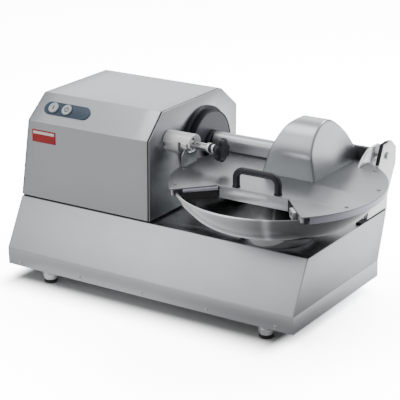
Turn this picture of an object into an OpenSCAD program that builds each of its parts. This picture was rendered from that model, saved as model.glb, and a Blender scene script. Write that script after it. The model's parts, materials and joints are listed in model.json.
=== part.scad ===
// Table-top bowl cutter: a motor head on the left of a sheet-steel base, and a
// round trough bowl under a hinged lid on the right. The knives turn on a level
// shaft that reaches over the bowl's rim. Millimetres, +Z up, +X along the base.

/* [Base] */
// Length of the base from end to end
base_len = 850; // [820:10:900]
// Depth of the base along its lower skirt
base_depth = 420; // [410:2:430]
// Height of the feet under the skirt
foot_h = 32; // [28:1:40]
// Height of the upright skirt band
skirt_h = 44; // [36:1:52]
// Height of the deck above the table
deck_z = 198; // [192:1:204]
// How far the sloped front leans back up to the deck
front_in = 66; // [60:1:70]
// How far the deck overhangs the skirt at the back
rear_out = 41; // [34:1:46]
// Radius of a foot at its widest
foot_r = 21; // [18:0.5:24]
// Spacing of the screws along the skirt
screw_gap = 190.75; // [186:0.25:193]

/* [Motor head] */
// Distance of the head's right wall from the base's left end
head_len = 405; // [396:1:410]
// Lean of the left wall, sideways for each mm of height
head_lean = 0.141; // [0.10:0.01:0.16]
// Height where the chamfers start
eave_z = 405; // [395:1:415]
// Height of the flat top
roof_z = 465; // [455:1:470]
// Depth of the front edge of the flat top
roof_front = 134; // [128:1:140]
// Depth of the back edge of the flat top
roof_rear = 393; // [385:1:400]
// Backward lean of the front wall at the eave
wall_lean = 7; // [3:1:10]
// Height of the dark joint between the head and the deck
joint_h = 5; // [4:0.5:6]

/* [Controls] */
// Length of the rounded control plate
plate_len = 142; // [130:2:150]
// Height of the rounded control plate
plate_h = 36; // [32:1:40]
// Radius of a push button
button_r = 14; // [12:0.5:15]
// Distance between the two push buttons
button_gap = 42; // [38:1:46]
// Travel of a push button
button_travel = 2; // [1.5:0.1:2.5]

/* [Bowl] */
// Distance of the bowl's axis from the base's left end
bowl_x = 713; // [710:1:720]
// Distance of the bowl's axis from the skirt's front
bowl_y = 160; // [158:1:164]
// Radius over the bowl's rim bead
rim_r = 246; // [244:0.5:248]
// Height of the rim
rim_z = 318; // [316:0.5:320]
// Radius of the trough's ring of lowest points
trough_ring = 146; // [144:0.5:148]
// Inside radius of the trough's round section
trough_r = 91.5; // [90:0.5:93]
// Radius of the ring that the bowl stands on
stand_r = 89; // [80:1:90]

/* [Knives] */
// Height of the knife shaft's axis
shaft_z = 341; // [339:0.5:343]
// Radius of the knife shaft
shaft_r = 14; // [12:0.5:15]
// Reach of a knife from the shaft's axis
knife_r = 80; // [76:1:81]
// Number of knives
knife_n = 3; // [2:1:4]
// Radius of the black cover round the shaft on the head's wall
drum_r = 88; // [82:1:90]

/* [Lid] */
// Radius of the lid
lid_r = 259; // [257:0.5:261]
// Height of the lid's top face
lid_z = 337; // [336:0.5:338]
// Thickness of the lid sheet
lid_t = 3; // [2:0.5:3]
// Half width of the feeding opening at its inner edge
mouth_half = 96; // [90:1:100]
// Distance of the opening's inner edge in front of the bowl's axis
mouth_in = 101; // [98:1:106]
// Depth of the flange that hangs from the opening's inner edge
flange_h = 28; // [24:1:30]
// Height of the handle above the lid
handle_h = 50; // [44:1:56]
// Distance between the handle's legs
handle_gap = 113; // [105:1:120]
// Half width of the cover over the shaft
tunnel_half = 20; // [19:0.5:22]
// Height of the cover over the shaft
tunnel_h = 42; // [40:0.5:44]

/* [Hinge] */
// Height of the hinge pin's axis
hinge_z = 339; // [337:0.5:341]
// Depth of the hinge pin's axis behind the skirt's front
hinge_y = 453; // [450:1:456]
// Radius of the hinge pin
pin_r = 6; // [5:0.5:7]

/* [Latch] */
// Depth of the latch axis behind the skirt's front
latch_y = 152; // [148:1:156]
// Height of the latch axis
latch_z = 389; // [386:1:392]
// Radius of the latch barrel
barrel_r = 27; // [25:0.5:29]
// Radius of the turning knob
knob_r = 30; // [26:0.5:31]

/* [Hidden] */
$fn = 96;

sheet = 2;
gap = 0.3;
fit = 0.05;
eps = 0.01;
skirt_z = foot_h + skirt_h;
deck_rear = base_depth + rear_out;
head_z = deck_z + joint_h;
shaft_y = bowl_y + trough_ring;
bracket_rear = hinge_y + 50;
mid_x = (bowl_x + lid_r) / 2;
mid_y = (bowl_y - rim_r + bracket_rear) / 2;

steel = [0.72, 0.73, 0.74];
satin = [0.60, 0.61, 0.62];
bright = [0.85, 0.86, 0.87];
dark = [0.12, 0.12, 0.13];
navy = [0.10, 0.10, 0.14];
slate = [0.34, 0.41, 0.49];
cream = [0.86, 0.87, 0.85];
iron = [0.35, 0.37, 0.40];

// Puts machine coordinates, measured from the skirt's front left corner, into the part's frame
module machine() translate([-mid_x, -mid_y, 0]) children();
// Turns a drawing's +Z to +X
module along_x() rotate([0, 90, 0]) children();
// Turns a drawing in Y and Z into a plate that is t thick and starts at x
module plate_x(x, t) translate([x, 0, 0]) rotate([90, 0, 90]) linear_extrude(t) children();
// Points on an arc of radius r about c
function arc(c, r, from, to, n = 16) =
    [for (i = [0:n]) c + r * [cos(from + (to - from) * i / n), sin(from + (to - from) * i / n)]];
// Tube along +Z
module tube(r_out, r_in, h) difference() {
    cylinder(r = r_out, h = h);
    translate([0, 0, -1]) cylinder(r = r_in, h = h + 2);
}

// ---- base ----
function base_side(d) = [
    [d, skirt_z], [front_in + d, deck_z - d], [deck_rear - d, deck_z - d], [base_depth - d, skirt_z]
];
gland_x = 70;
gland_z = foot_h + 22;
gland_r = 11;
foot_spots = [for (x = [120, base_len - 85]) for (y = [22, base_depth - 22]) [x, y]];

// Floor of the base with the front, left and right walls of its skirt
module base_tray() color(satin) machine() difference() {
    translate([0, 0, foot_h]) cube([base_len, base_depth - sheet - gap, skirt_h - gap]);
    translate([sheet, sheet, foot_h + sheet]) cube([base_len - 2 * sheet, base_depth, skirt_h]);
}
// Rear wall of the skirt, pierced for the cable gland
module rear_skirt() color(satin) machine() difference() {
    translate([0, base_depth - sheet, foot_h]) cube([base_len, sheet, skirt_h - gap]);
    translate([gland_x, base_depth - 5, gland_z]) rotate([-90, 0, 0]) cylinder(r = gland_r, h = 10);
}
module side_wall(x) color(steel) machine() plate_x(x, sheet) polygon(base_side(0));
module left_panel() side_wall(0);
module right_panel() side_wall(base_len - sheet);
module front_panel() color(steel) machine() translate([sheet + gap, 0, 0])
    plate_x(0, base_len - 2 * (sheet + gap)) polygon([
        [0, skirt_z], [front_in, deck_z], [front_in + sheet, deck_z], [sheet, skirt_z]]);
module rear_panel() color(steel) machine() translate([sheet + gap, 0, 0])
    plate_x(0, base_len - 2 * (sheet + gap)) polygon([
        [base_depth, skirt_z], [deck_rear, deck_z], [deck_rear - sheet, deck_z],
        [base_depth - sheet, skirt_z]]);
module deck_plate() color(satin) machine() difference() {
    translate([sheet + gap, front_in + sheet + gap, deck_z - sheet])
        cube([base_len - 2 * (sheet + gap), deck_rear - front_in - 2 * (sheet + gap) - 1, sheet]);
    translate([bowl_x, bowl_y, deck_z - 5]) cylinder(r = 40, h = 10);
    translate([290, 395, deck_z - 5]) cube([60, 40, 10]);
}
module chassis_rails() color(iron) machine() {
    for (x = [150, 420, 600]) translate([x, 60, foot_h + sheet]) cube([30, base_depth - 120, 20]);
    for (x = [30, 600, 790]) translate([x, 90, foot_h + sheet + 20]) {
        cube([30, 25, deck_z - foot_h - 2 * sheet - 20]);
        translate([0, base_depth - 205, 0]) cube([30, 25, deck_z - foot_h - 2 * sheet - 20]);
    }
    for (x = [30, 790]) translate([x, 90, foot_h + sheet]) cube([30, base_depth - 180, 20]);
}
module feet() color(satin) machine() for (s = foot_spots) translate([s[0], s[1], 9]) {
    cylinder(r1 = foot_r - 5, r2 = foot_r, h = 17);
    translate([0, 0, 17]) cylinder(r = foot_r - 3, h = foot_h - 26);
}
module foot_pads() color(dark) machine() for (s = foot_spots) translate([s[0], s[1], 0])
    cylinder(r1 = foot_r - 6, r2 = foot_r - 4, h = 9);
module skirt_screws() color(bright) machine() for (i = [0:4])
    translate([39 + i * screw_gap, 0, foot_h + 9]) rotate([90, 0, 0]) difference() {
        cylinder(r = 4.5, h = 2);
        translate([0, 0, 1]) cylinder(r = 2, h = 2, $fn = 6);
    }

// ---- motor head ----
function head_outline(d) = [
    [front_in + d, head_z - d * 2], [front_in + wall_lean + d, eave_z - d * 0.4],
    [roof_front + d * 0.4, roof_z - d], [roof_rear - d * 0.4, roof_z - d],
    [deck_rear + wall_lean - d - 1, eave_z - d * 0.4], [deck_rear - d - 1, head_z - d * 2]
];
// Everything to the right of the leaning left wall, set in by d
module right_of_lean(d) rotate([90, 0, 0]) translate([0, 0, -600]) linear_extrude(700) polygon([
    [d, deck_z], [d + head_lean * (roof_z + 20 - deck_z), roof_z + 20], [900, roof_z + 20], [900, deck_z]]);

module head_cover() color(steel) machine() intersection() {
    difference() {
        plate_x(0, head_len - sheet - gap) polygon(head_outline(0));
        plate_x(-1, head_len + 2) polygon(head_outline(sheet));
    }
    right_of_lean(sheet + gap);
}
module head_left_wall() color(steel) machine() intersection() {
    plate_x(0, head_len / 2) polygon(head_outline(0));
    difference() {
        right_of_lean(0);
        right_of_lean(sheet);
    }
}
module head_right_wall() color(steel) machine() difference() {
    plate_x(head_len - sheet, sheet) polygon(head_outline(0));
    translate([head_len - 5, shaft_y, shaft_z]) along_x() cylinder(r = 44 + gap, h = 10);
}
module head_gasket() color(dark) machine() difference() {
    translate([3, front_in + 3, deck_z]) cube([head_len - 6, deck_rear - front_in - 8, joint_h]);
    translate([15, front_in + 15, deck_z - 1])
        cube([head_len - 30, deck_rear - front_in - 32, joint_h + 2]);
}
module vent_louvres() color(steel) machine() translate([0, deck_rear - 1, head_z])
    rotate([-atan2(wall_lean, eave_z - head_z), 0, 0])
        for (i = [0:6]) for (x = [110, 250]) translate([x, 0, 42 + i * 16]) difference() {
            cube([90, 6, 8]);
            translate([4, -1, -3]) cube([82, 5, 8]);
        }

// ---- controls, on the front chamfer ----
chamfer_deg = atan2(roof_z - eave_z, roof_front - front_in - wall_lean);
plate_x0 = 62;
// Puts the drawing on the middle of the front chamfer, +Z outwards
module on_chamfer(x) translate([x, (front_in + wall_lean + roof_front) / 2, (eave_z + roof_z) / 2])
    rotate([chamfer_deg, 0, 0]) children();
button_x = [92, 92 + button_gap];

module control_plate() color(slate) machine() on_chamfer(plate_x0) difference() {
    union() {
        translate([plate_h / 2, 0, 0]) cylinder(r = plate_h / 2, h = 2.5);
        translate([plate_len - plate_h / 2, 0, 0]) cylinder(r = plate_h / 2, h = 2.5);
        translate([plate_h / 2, -plate_h / 2, 0]) cube([plate_len - plate_h, plate_h, 2.5]);
        for (x = button_x) translate([x - plate_x0, 0, 0]) cylinder(r = button_r + 2.5, h = 4);
    }
    for (x = button_x) translate([x - plate_x0, 0, 0.5]) cylinder(r = button_r + gap, h = 5);
}
module button(x) color(cream) machine() on_chamfer(x) {
    translate([0, 0, 0.5 + button_travel + gap]) cylinder(r = button_r, h = 3.2);
    translate([0, 0, 3.7 + button_travel + gap]) cylinder(r1 = button_r, r2 = button_r - 1.5, h = 1.2);
}
module start_button() button(button_x[0]);
module stop_button() button(button_x[1]);
badge_z = 367;
module badge_plate() color([0.7, 0.13, 0.12]) machine()
    translate([42, front_in + wall_lean * (badge_z - 16 - head_z) / (eave_z - head_z) - 1.2, badge_z - 16])
    rotate([-atan2(wall_lean, eave_z - head_z), 0, 0]) difference() {
        cube([74, 1.2, 32]);
        translate([3, -1, 21]) cube([68, 1.4, 8]);
    }
module control_box() color(iron) machine() translate([20, 330, foot_h + sheet + 20]) cube([110, 60, 90]);
module cable_gland() color(dark) machine() translate([gland_x, base_depth - sheet, gland_z])
    rotate([-90, 0, 0]) {
        tube(gland_r, 5, 8);
        translate([0, 0, 8]) tube(9, 5, 8);
    }

// ---- knife drive ----
motor_y = 178;
motor_z = 288;
motor_r = 70;
pulley_x = 292;
pulley_r = 36;
belt_t = 5;
bearing_r = 28;
drum_t = 27;
drum_back_t = 12;
drum_step = 9;
cap_r = 38;
cap_t = 13;
module knife_axis(x) translate([x, shaft_y, shaft_z]) along_x() children();
module motor_axis(x) translate([x, motor_y, motor_z]) along_x() children();
// Two grooved flanges with a flat between them, bored to fit a shaft
module pulley(r, bore_r, w = 20) difference() {
    union() {
        cylinder(r = r - belt_t - gap, h = w);
        cylinder(r = r + 2, h = 2);
        translate([0, 0, w - 2]) cylinder(r = r + 2, h = 2);
        cylinder(r = 20, h = w + 6);
    }
    translate([0, 0, -1]) cylinder(r = bore_r, h = w + 8);
}
module knife_motor() color(iron) machine() motor_axis(75) difference() {
    union() {
        cylinder(r = motor_r - 6, h = 195);
        translate([0, 0, 12]) cylinder(r = motor_r, h = 165);
        translate([0, 0, 195]) cylinder(r = 30, h = 8);
    }
    translate([0, 0, 150]) cylinder(r = 12 + fit, h = 80);
}
module motor_cradle() color(iron) machine() for (x = [100, 215]) translate([x, motor_y - 60, deck_z])
    difference() {
        cube([20, 120, 55]);
        translate([-1, 60, motor_z - deck_z]) along_x() cylinder(r = motor_r + fit, h = 30);
    }
module motor_pulley() color(satin) machine() {
    motor_axis(pulley_x) pulley(pulley_r, 12 - eps);
    motor_axis(230) cylinder(r = 12, h = pulley_x - 230 + 24);
}
module shaft_pulley() color(satin) machine() knife_axis(pulley_x) pulley(pulley_r, shaft_r);
belt_tilt = atan2(shaft_z - motor_z, shaft_y - motor_y);
belt_run = sqrt(pow(shaft_y - motor_y, 2) + pow(shaft_z - motor_z, 2));
// Flat belt round two equal pulleys
module belt_loop(run, r, w) difference() {
    union() {
        cylinder(r = r, h = w);
        translate([0, -r, 0]) cube([run, 2 * r, w]);
        translate([run, 0, 0]) cylinder(r = r, h = w);
    }
    translate([0, 0, -1]) {
        cylinder(r = r - belt_t, h = w + 2);
        translate([0, belt_t - r, 0]) cube([run, 2 * (r - belt_t), w + 2]);
        translate([run, 0, 0]) cylinder(r = r - belt_t, h = w + 2);
    }
}
module knife_belt() color(dark) machine() translate([pulley_x + 3, motor_y, motor_z])
    rotate([belt_tilt, 0, 0]) rotate([90, 0, 90]) belt_loop(belt_run, pulley_r, 14);
module knife_shaft() color(bright) machine() knife_axis(280) cylinder(r = shaft_r, h = 464);
module bearing_housing() color(iron) machine() knife_axis(330) difference() {
    union() {
        cylinder(r = 44, h = head_len - 330);
        cylinder(r = 60, h = 8);
        translate([32, -14, 0]) cube([shaft_z - deck_z - 32, 28, 40]);
    }
    translate([0, 0, -1]) cylinder(r = bearing_r, h = 100);
    translate([shaft_z - deck_z, -50, -5]) cube([50, 100, 100]);
}
module shaft_bearings() color(bright) machine() for (x = [334, 386])
    knife_axis(x) tube(bearing_r, shaft_r + fit, 16);
module shaft_drum() color(navy) machine() knife_axis(head_len) difference() {
    union() {
        cylinder(r = drum_r - 4, h = drum_t);
        cylinder(r = drum_r + drum_step, h = drum_back_t);
        for (z = [drum_back_t + 2, drum_t - 8, drum_t - 3]) translate([0, 0, z]) cylinder(r = drum_r, h = 3);
    }
    translate([0, 0, -1]) cylinder(r = cap_r - 6, h = drum_t + 2);
}
module shaft_cap() color(dark) machine() knife_axis(head_len) difference() {
    union() {
        cylinder(r = cap_r - 6, h = drum_t);
        translate([0, 0, drum_t]) cylinder(r = cap_r, h = cap_t);
    }
    translate([0, 0, -1]) cylinder(r = shaft_r + fit + 0.05, h = drum_t + cap_t + 2);
}
knife_x = bowl_x - 22;
module knife_hub() color(satin) machine() knife_axis(knife_x) difference() {
    cylinder(r = 26, h = 44);
    translate([0, 0, -1]) cylinder(r = shaft_r, h = 50);
}
// Curved blade in the plane across the shaft
module blade_outline() difference() {
    intersection() {
        circle(r = knife_r);
        translate([0, -12]) square([knife_r, 62]);
        translate([20, -30]) circle(r = 68);
    }
    translate([34, -58]) circle(r = 56);
    circle(r = 26);
}
module knives() color(bright) machine() for (i = [0:knife_n - 1])
    knife_axis(knife_x + 6 + i * 12) rotate([0, 0, i * 360 / knife_n]) linear_extrude(3.5) blade_outline();
module hub_nut() color(dark) machine() knife_axis(knife_x + 44) difference() {
    cylinder(r = 22, h = 8);
    translate([0, 0, -1]) cylinder(r = shaft_r, h = 12);
}

// ---- bowl ----
trough_c = [trough_ring, shaft_z];
bowl_t = 2.5;
hub_in = 56;
hub_base = 262;
stand_h = 50;
wall_turn = -42;
bowl_outer = concat(
    [[0, hub_base], [79, hub_base]],
    arc(trough_c, trough_r + bowl_t, 225, 360 + wall_turn, 20),
    [[rim_r - 3, 300], [rim_r - 2.5, rim_z - 7], [rim_r, rim_z - 5], [rim_r, rim_z - 1],
     [rim_r - 1, rim_z], [rim_r - 4, rim_z], [rim_r - 5.5, rim_z - 2], [rim_r - 6, 301]]);
bowl_inner = concat(
    arc(trough_c, trough_r, 360 + wall_turn, 195, 26),
    [[50, 321], [40, 324.5], [24, 326], [0, 326]]);
module bowl_at(z) translate([bowl_x, bowl_y, z]) children();
module bowl() color(steel) machine() bowl_at(0) difference() {
    rotate_extrude($fn = 144) polygon(concat(bowl_outer, bowl_inner));
    translate([0, 0, hub_base - 1]) tube(hub_in - 6, 20, 52);
    translate([0, 0, hub_base - 1]) cylinder(r = 12, h = 40);
}
module bowl_spindle() color(bright) machine() bowl_at(112) {
    cylinder(r = 12, h = hub_base + 36 - 112);
    translate([0, 0, hub_base - 5 - 112]) cylinder(r = 20, h = 5);
}
module bowl_stand() color(steel) machine() bowl_at(0) difference() {
    union() {
        translate([0, 0, deck_z]) cylinder(r = stand_r, h = stand_h);
        translate([0, 0, deck_z + stand_h]) cylinder(r1 = stand_r, r2 = stand_r - 6, h = 6);
        translate([0, 0, 150]) cylinder(r = 38, h = deck_z - 149);
    }
    translate([0, 0, 149]) cylinder(r = bearing_r, h = 120);
    translate([0, 0, deck_z - 1]) tube(stand_r - 3, 38, stand_h);
}
module spindle_bearings() color(bright) machine() for (z = [152, 232])
    bowl_at(z) tube(bearing_r, 12 + fit, 14);
bowl_motor_x = bowl_x - 170;
drive_z = 122;
module bowl_pulley() color(satin) machine() bowl_at(drive_z) pulley(pulley_r, 12, 16);
module bowl_belt() color(dark) machine() translate([bowl_motor_x, bowl_y, drive_z + 2.5])
    belt_loop(bowl_x - bowl_motor_x, pulley_r, 11);
module bowl_motor() color(iron) machine() translate([bowl_motor_x, bowl_y, foot_h + sheet + 20])
    difference() {
        union() {
            translate([-45, -45, 0]) cube([90, 90, 50]);
            translate([-155, -38, 6]) cube([110, 76, 40]);
            cylinder(r = 24, h = 56);
        }
        translate([0, 0, 30]) cylinder(r = 10 + fit, h = 40);
    }
module bowl_motor_pulley() color(satin) machine() translate([bowl_motor_x, bowl_y, 0]) {
    translate([0, 0, drive_z]) pulley(pulley_r, 10 - eps, 16);
    translate([0, 0, 90]) cylinder(r = 10, h = drive_z + 20 - 90);
}

// ---- lid ----
mouth_y = bowl_y - mouth_in;
mouth_x = bowl_x - 8;
mouth_splay = 0.93;
// Feeding opening, from its inner edge out past the rim
module mouth(d = 0) polygon([
    [mouth_x - mouth_half - d, mouth_y + d], [mouth_x + mouth_half + d, mouth_y + d],
    [mouth_x + mouth_half + d + 200 * mouth_splay, mouth_y - 200],
    [mouth_x - mouth_half - d - 200 * mouth_splay, mouth_y - 200]]);
hood_left = 649;
hood_right = 794;
hood_front = 191;
hood_rear = 406;
module lid_plate() color(satin) machine() {
    translate([0, 0, lid_z - lid_t]) linear_extrude(lid_t) difference() {
        union() {
            translate([bowl_x, bowl_y]) circle(r = lid_r, $fn = 180);
            translate([ear_x[0] + ear_t + gap, 380]) square([ear_x[1] - ear_x[0] - ear_t - 2 * gap, 43]);
        }
        mouth();
        translate([hood_left + 4, hood_front + 6]) square([hood_right - hood_left - 8, hood_rear - hood_front - 12]);
        translate([400, shaft_y - tunnel_half + 2]) square([300, 2 * tunnel_half - 4]);
    }
    translate([0, 0, lid_z - lid_t - flange_h]) linear_extrude(flange_h + eps) intersection() {
        difference() {
            mouth(2.5);
            mouth();
        }
        translate([bowl_x, bowl_y]) circle(r = rim_r - 12);
    }
}
module lid_seal() color([0.55, 0.55, 0.62]) machine() translate([0, 0, rim_z - 1])
    linear_extrude(lid_z - lid_t - rim_z + 1) difference() {
        translate([bowl_x, bowl_y]) circle(r = lid_r - 5, $fn = 144);
        translate([bowl_x, bowl_y]) circle(r = lid_r - 9, $fn = 144);
        mouth(19);
        translate([400, shaft_y - tunnel_half + 2]) square([300, 2 * tunnel_half - 4]);
    }
// Hood's section across the shaft, set in by d: a round front and top, then a long rear slope
crown = [247, 404];
crown_r = 70;
crown_end = 62;
slope_start = crown + crown_r * [cos(crown_end), sin(crown_end)];
slope_end = [hood_rear, lid_z + 15];
slope_dir = [cos(crown_end), sin(crown_end)];
slope_v = slope_end - slope_start;
slope_r = -(slope_v * slope_v) / (2 * (slope_v * slope_dir));
slope_c = slope_start - slope_r * slope_dir;
slope_stop = atan2(slope_end[1] - slope_c[1], slope_end[0] - slope_c[0]);
function hood_section(d) = concat(
    [[hood_rear - d, lid_z - d * 5], [hood_front + d, lid_z - d * 5]],
    arc(crown, crown_r - d, 191, crown_end, 20),
    arc(slope_c, slope_r - d, crown_end, slope_stop, 12));
// Hood's outline along the shaft, set in by d: a leaning left end with a rounded shoulder
lean_deg = 62.5;
shoulder_r = 34;
shoulder_c = [734, crown[1] + crown_r - shoulder_r];
function hood_side(d) = concat(
    [[hood_right - d, lid_z - d * 5], [hood_left + d, lid_z - d * 5]],
    arc(shoulder_c, shoulder_r - d, 90 + lean_deg, 90, 10),
    [[hood_right - d, crown[1] + crown_r - d]]);
module hood_body(d) intersection() {
    plate_x(hood_left - 50, 300) polygon(hood_section(d));
    translate([0, 600, 0]) rotate([90, 0, 0]) linear_extrude(600) polygon(hood_side(d));
}
module tunnel_bore(half, h) translate([0, 0, lid_z]) {
    translate([400, shaft_y - half, -5]) cube([300, 2 * half, h - half + 5]);
    translate([400, shaft_y, h - half]) along_x() cylinder(r = half, h = 300);
}
module knife_hood() color(satin) machine() difference() {
    hood_body(0);
    hood_body(sheet);
    tunnel_bore(tunnel_half - sheet, tunnel_h - sheet);
}
tunnel_x = head_len + drum_t + cap_t + 2;
module shaft_tunnel() color(satin) machine() difference() {
    intersection() {
        tunnel_bore(tunnel_half, tunnel_h);
        translate([tunnel_x, 0, lid_z]) cube([300, 500, 100]);
    }
    tunnel_bore(tunnel_half - sheet, tunnel_h - sheet);
    hood_body(0);
}
bar_r = 8.5;
bend_r = 20;
handle_x = mouth_x + 4.5;
handle_y = mouth_y + 13;
// Round bar bridge: two legs, two bends and the grip
module lid_handle() color(navy) machine() translate([handle_x, handle_y, lid_z]) {
    for (side = [-1, 1]) {
        translate([side * handle_gap / 2, 0, 0]) cylinder(r = bar_r, h = handle_h - bar_r - bend_r);
        translate([side * (handle_gap / 2 - bend_r), 0, handle_h - bar_r - bend_r]) rotate([90, 0, 0])
            rotate([0, 0, side > 0 ? 0 : 90]) rotate_extrude(angle = 90) translate([bend_r, 0]) circle(r = bar_r);
    }
    translate([bend_r - handle_gap / 2, 0, handle_h - bar_r]) along_x()
        cylinder(r = bar_r, h = handle_gap - 2 * bend_r);
}
// Small blocks that hang under the lid at both ends of the opening
guide_deg = [222.4, 315.2];
module rim_guides() color(bright) machine() for (a = guide_deg)
    translate([bowl_x, bowl_y, 0]) rotate([0, 0, a]) translate([rim_r + 3, -7, rim_z - 4]) {
        cube([5, 14, lid_z - lid_t - rim_z + 4]);
        translate([-20, 0, 6]) cube([21, 14, lid_z - lid_t - rim_z - 2]);
    }
screw_ring = 242;
screw_deg = [-20, 14, 48, 116, 158, 190, 218];
module lid_screws() color(bright) machine() for (a = screw_deg)
    translate([bowl_x + screw_ring * cos(a), bowl_y + screw_ring * sin(a), lid_z])
        cylinder(r1 = 5, r2 = 4, h = 2);

// ---- hinge ----
ear_x = [680, 826];
ear_t = 8;
bracket_t = 10;
bracket_x = [664, base_len - bracket_t];
right_ear = [[338, lid_z], [368, 357], [386, 366], [404, 371.5], [446, 370.5], [466, 356],
    [471, 339], [464, 323], [448, 317], [424, 318], [402, 323], [395, 331], [395, lid_z]];
left_ear = [[409, lid_z], [409, 352], [444, 355], [462, 352], [469, 339], [462, 326], [446, 322],
    [427, 330], [420, lid_z]];
right_bracket = [[355, deck_z], [461, deck_z], [462, 232], [479, 266], [bracket_rear, 308],
    [bracket_rear, 350], [478, 373], [434, 372], [414, 330], [363, 226]];
left_bracket = [[414, deck_z], [459, deck_z], [469, 330], [467, 348], [453, 355], [440, 350], [434, 330]];
module pin_hole(r) translate([600, hinge_y, hinge_z]) along_x() cylinder(r = r, h = 300);
module hinge_ears() color(steel) machine() difference() {
    union() {
        plate_x(ear_x[0], ear_t) polygon(left_ear);
        plate_x(ear_x[1], ear_t) polygon(right_ear);
    }
    pin_hole(pin_r + fit);
}
module hinge_beam() color(iron) machine() difference() {
    translate([ear_x[0] + ear_t, 409, lid_z]) cube([ear_x[1] - ear_x[0] - ear_t, 14, 29]);
    translate([ear_x[0], 411, lid_z + 2]) cube([300, 10, 25]);
}
module hinge_brackets() color(steel) machine() difference() {
    union() {
        plate_x(bracket_x[0], bracket_t) polygon(left_bracket);
        plate_x(bracket_x[1], bracket_t) polygon(right_bracket);
    }
    pin_hole(pin_r);
}
module hinge_pin() color(bright) machine() translate([0, hinge_y, hinge_z]) {
    translate([bracket_x[0] - 4, 0, 0]) along_x() cylinder(r = pin_r, h = base_len + 4 - bracket_x[0]);
    translate([base_len, 0, 0]) along_x() cylinder(r = 10, h = 5, $fn = 6);
    translate([bracket_x[0] - 6, 0, 0]) along_x() cylinder(r = 10, h = 6);
}
module bracket_gasket() color(dark) machine() translate([base_len - bracket_t - 4, 322, deck_z])
    difference() {
        cube([bracket_t + 4, 32, 6]);
        translate([-1, -8, 6]) rotate([0, 90, 0]) cylinder(r = 9, h = 30);
    }

// ---- latch ----
barrel_x = head_len + 2;
barrel_end = 485;
rod_r = 10;
knob_x = 555;
knob_t = 12;
neck_t = 25;
collar_x = 458;
collar_r = 21;
collar_w = 24;
module latch_axis(x) translate([x, latch_y, latch_z]) along_x() children();
module latch_barrel() color(bright) machine() difference() {
    latch_axis(barrel_x) cylinder(r = barrel_r, h = barrel_end - barrel_x);
    latch_axis(barrel_x - 1) cylinder(r = rod_r + 1, h = 100);
    latch_axis(collar_x) cylinder(r = collar_r + fit, h = collar_w + fit);
    translate([452, latch_y - 40, latch_z - 40]) cube([60, 46, 49]);
    translate([452, latch_y - 5, latch_z - 40]) cube([60, 40, 30]);
    translate([barrel_x - 1, latch_y - 40, latch_z - 5]) cube([7, 30, 10]);
    latch_axis(480) translate([-19, 4, 0]) cylinder(r = 2.5, h = 10);
}
module latch_collar() color(bright) machine() latch_axis(collar_x) difference() {
    cylinder(r = collar_r, h = collar_w);
    translate([0, 0, -1]) cylinder(r = rod_r + fit, h = 30);
    translate([-1.5, -30, -1]) cube([3, 20, 30]);
    translate([-30, -30, 11]) cube([60, 22, 2]);
}
module latch_bracket() color(steel) machine() difference() {
    plate_x(464, 4) polygon([[122, lid_z], [184, lid_z], [184, latch_z - 22], [172, latch_z - 10],
        [134, latch_z - 10], [122, latch_z - 22]]);
    latch_axis(460) cylinder(r = collar_r, h = 20);
}
module latch_rod() color(bright) machine() {
    latch_axis(430) cylinder(r = rod_r, h = knob_x - 430);
    latch_axis(knob_x - neck_t - 8) cylinder(r = rod_r + 2, h = 8);
}
knob_lobes = 7;
module latch_knob() color(navy) machine() latch_axis(knob_x) {
    difference() {
        union() {
            cylinder(r = knob_r, h = knob_t);
            translate([0, 0, knob_t]) cylinder(r1 = knob_r, r2 = knob_r - 5, h = 4);
        }
        for (i = [0:knob_lobes - 1]) rotate([0, 0, i * 360 / knob_lobes])
            translate([knob_r + 6, 0, -1]) cylinder(r = 11, h = 40);
    }
    translate([0, 0, -neck_t]) tube(rod_r + 2, rod_r, neck_t);
}

base_tray();
rear_skirt();
front_panel();
left_panel();
right_panel();
rear_panel();
deck_plate();
chassis_rails();
feet();
foot_pads();
skirt_screws();
head_cover();
head_left_wall();
head_right_wall();
head_gasket();
vent_louvres();
control_plate();
start_button();
stop_button();
badge_plate();
control_box();
cable_gland();
knife_motor();
motor_cradle();
motor_pulley();
knife_belt();
shaft_pulley();
knife_shaft();
shaft_bearings();
bearing_housing();
shaft_drum();
shaft_cap();
knife_hub();
knives();
hub_nut();
bowl();
bowl_spindle();
bowl_stand();
spindle_bearings();
bowl_pulley();
bowl_belt();
bowl_motor();
bowl_motor_pulley();
lid_plate();
lid_seal();
knife_hood();
shaft_tunnel();
lid_handle();
rim_guides();
lid_screws();
hinge_ears();
hinge_beam();
hinge_pin();
hinge_brackets();
bracket_gasket();
latch_bracket();
latch_barrel();
latch_collar();
latch_rod();
latch_knob();
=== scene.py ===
"""Builds the looks of a table-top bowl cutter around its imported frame.

The machine is folded sheet steel with a spun bowl, a lid with its knife hood, and black fittings. It
stands in a pale studio. Lengths are in metres, in the frame's own axes.
"""

import json
import math

import bmesh
import bpy
from bpy.props import FloatProperty, FloatVectorProperty, IntProperty, PointerProperty
from mathutils import Matrix, Vector


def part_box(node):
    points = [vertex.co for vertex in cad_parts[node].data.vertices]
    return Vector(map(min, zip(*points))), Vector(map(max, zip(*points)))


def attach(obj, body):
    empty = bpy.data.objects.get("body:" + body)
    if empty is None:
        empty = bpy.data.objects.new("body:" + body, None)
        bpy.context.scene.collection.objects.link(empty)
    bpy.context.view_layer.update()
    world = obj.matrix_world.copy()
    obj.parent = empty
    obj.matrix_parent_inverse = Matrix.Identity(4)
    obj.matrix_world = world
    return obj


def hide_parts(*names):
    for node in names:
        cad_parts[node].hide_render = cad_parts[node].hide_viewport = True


bl_info = {
    "name": "Bowl Cutter",
    "version": (1, 0, 0),
    "blender": (4, 5, 0),
    "location": "View3D > Sidebar > Bowl Cutter",
    "description": "Dresses the packed frame of a table-top bowl cutter",
    "category": "Object",
}

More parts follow.
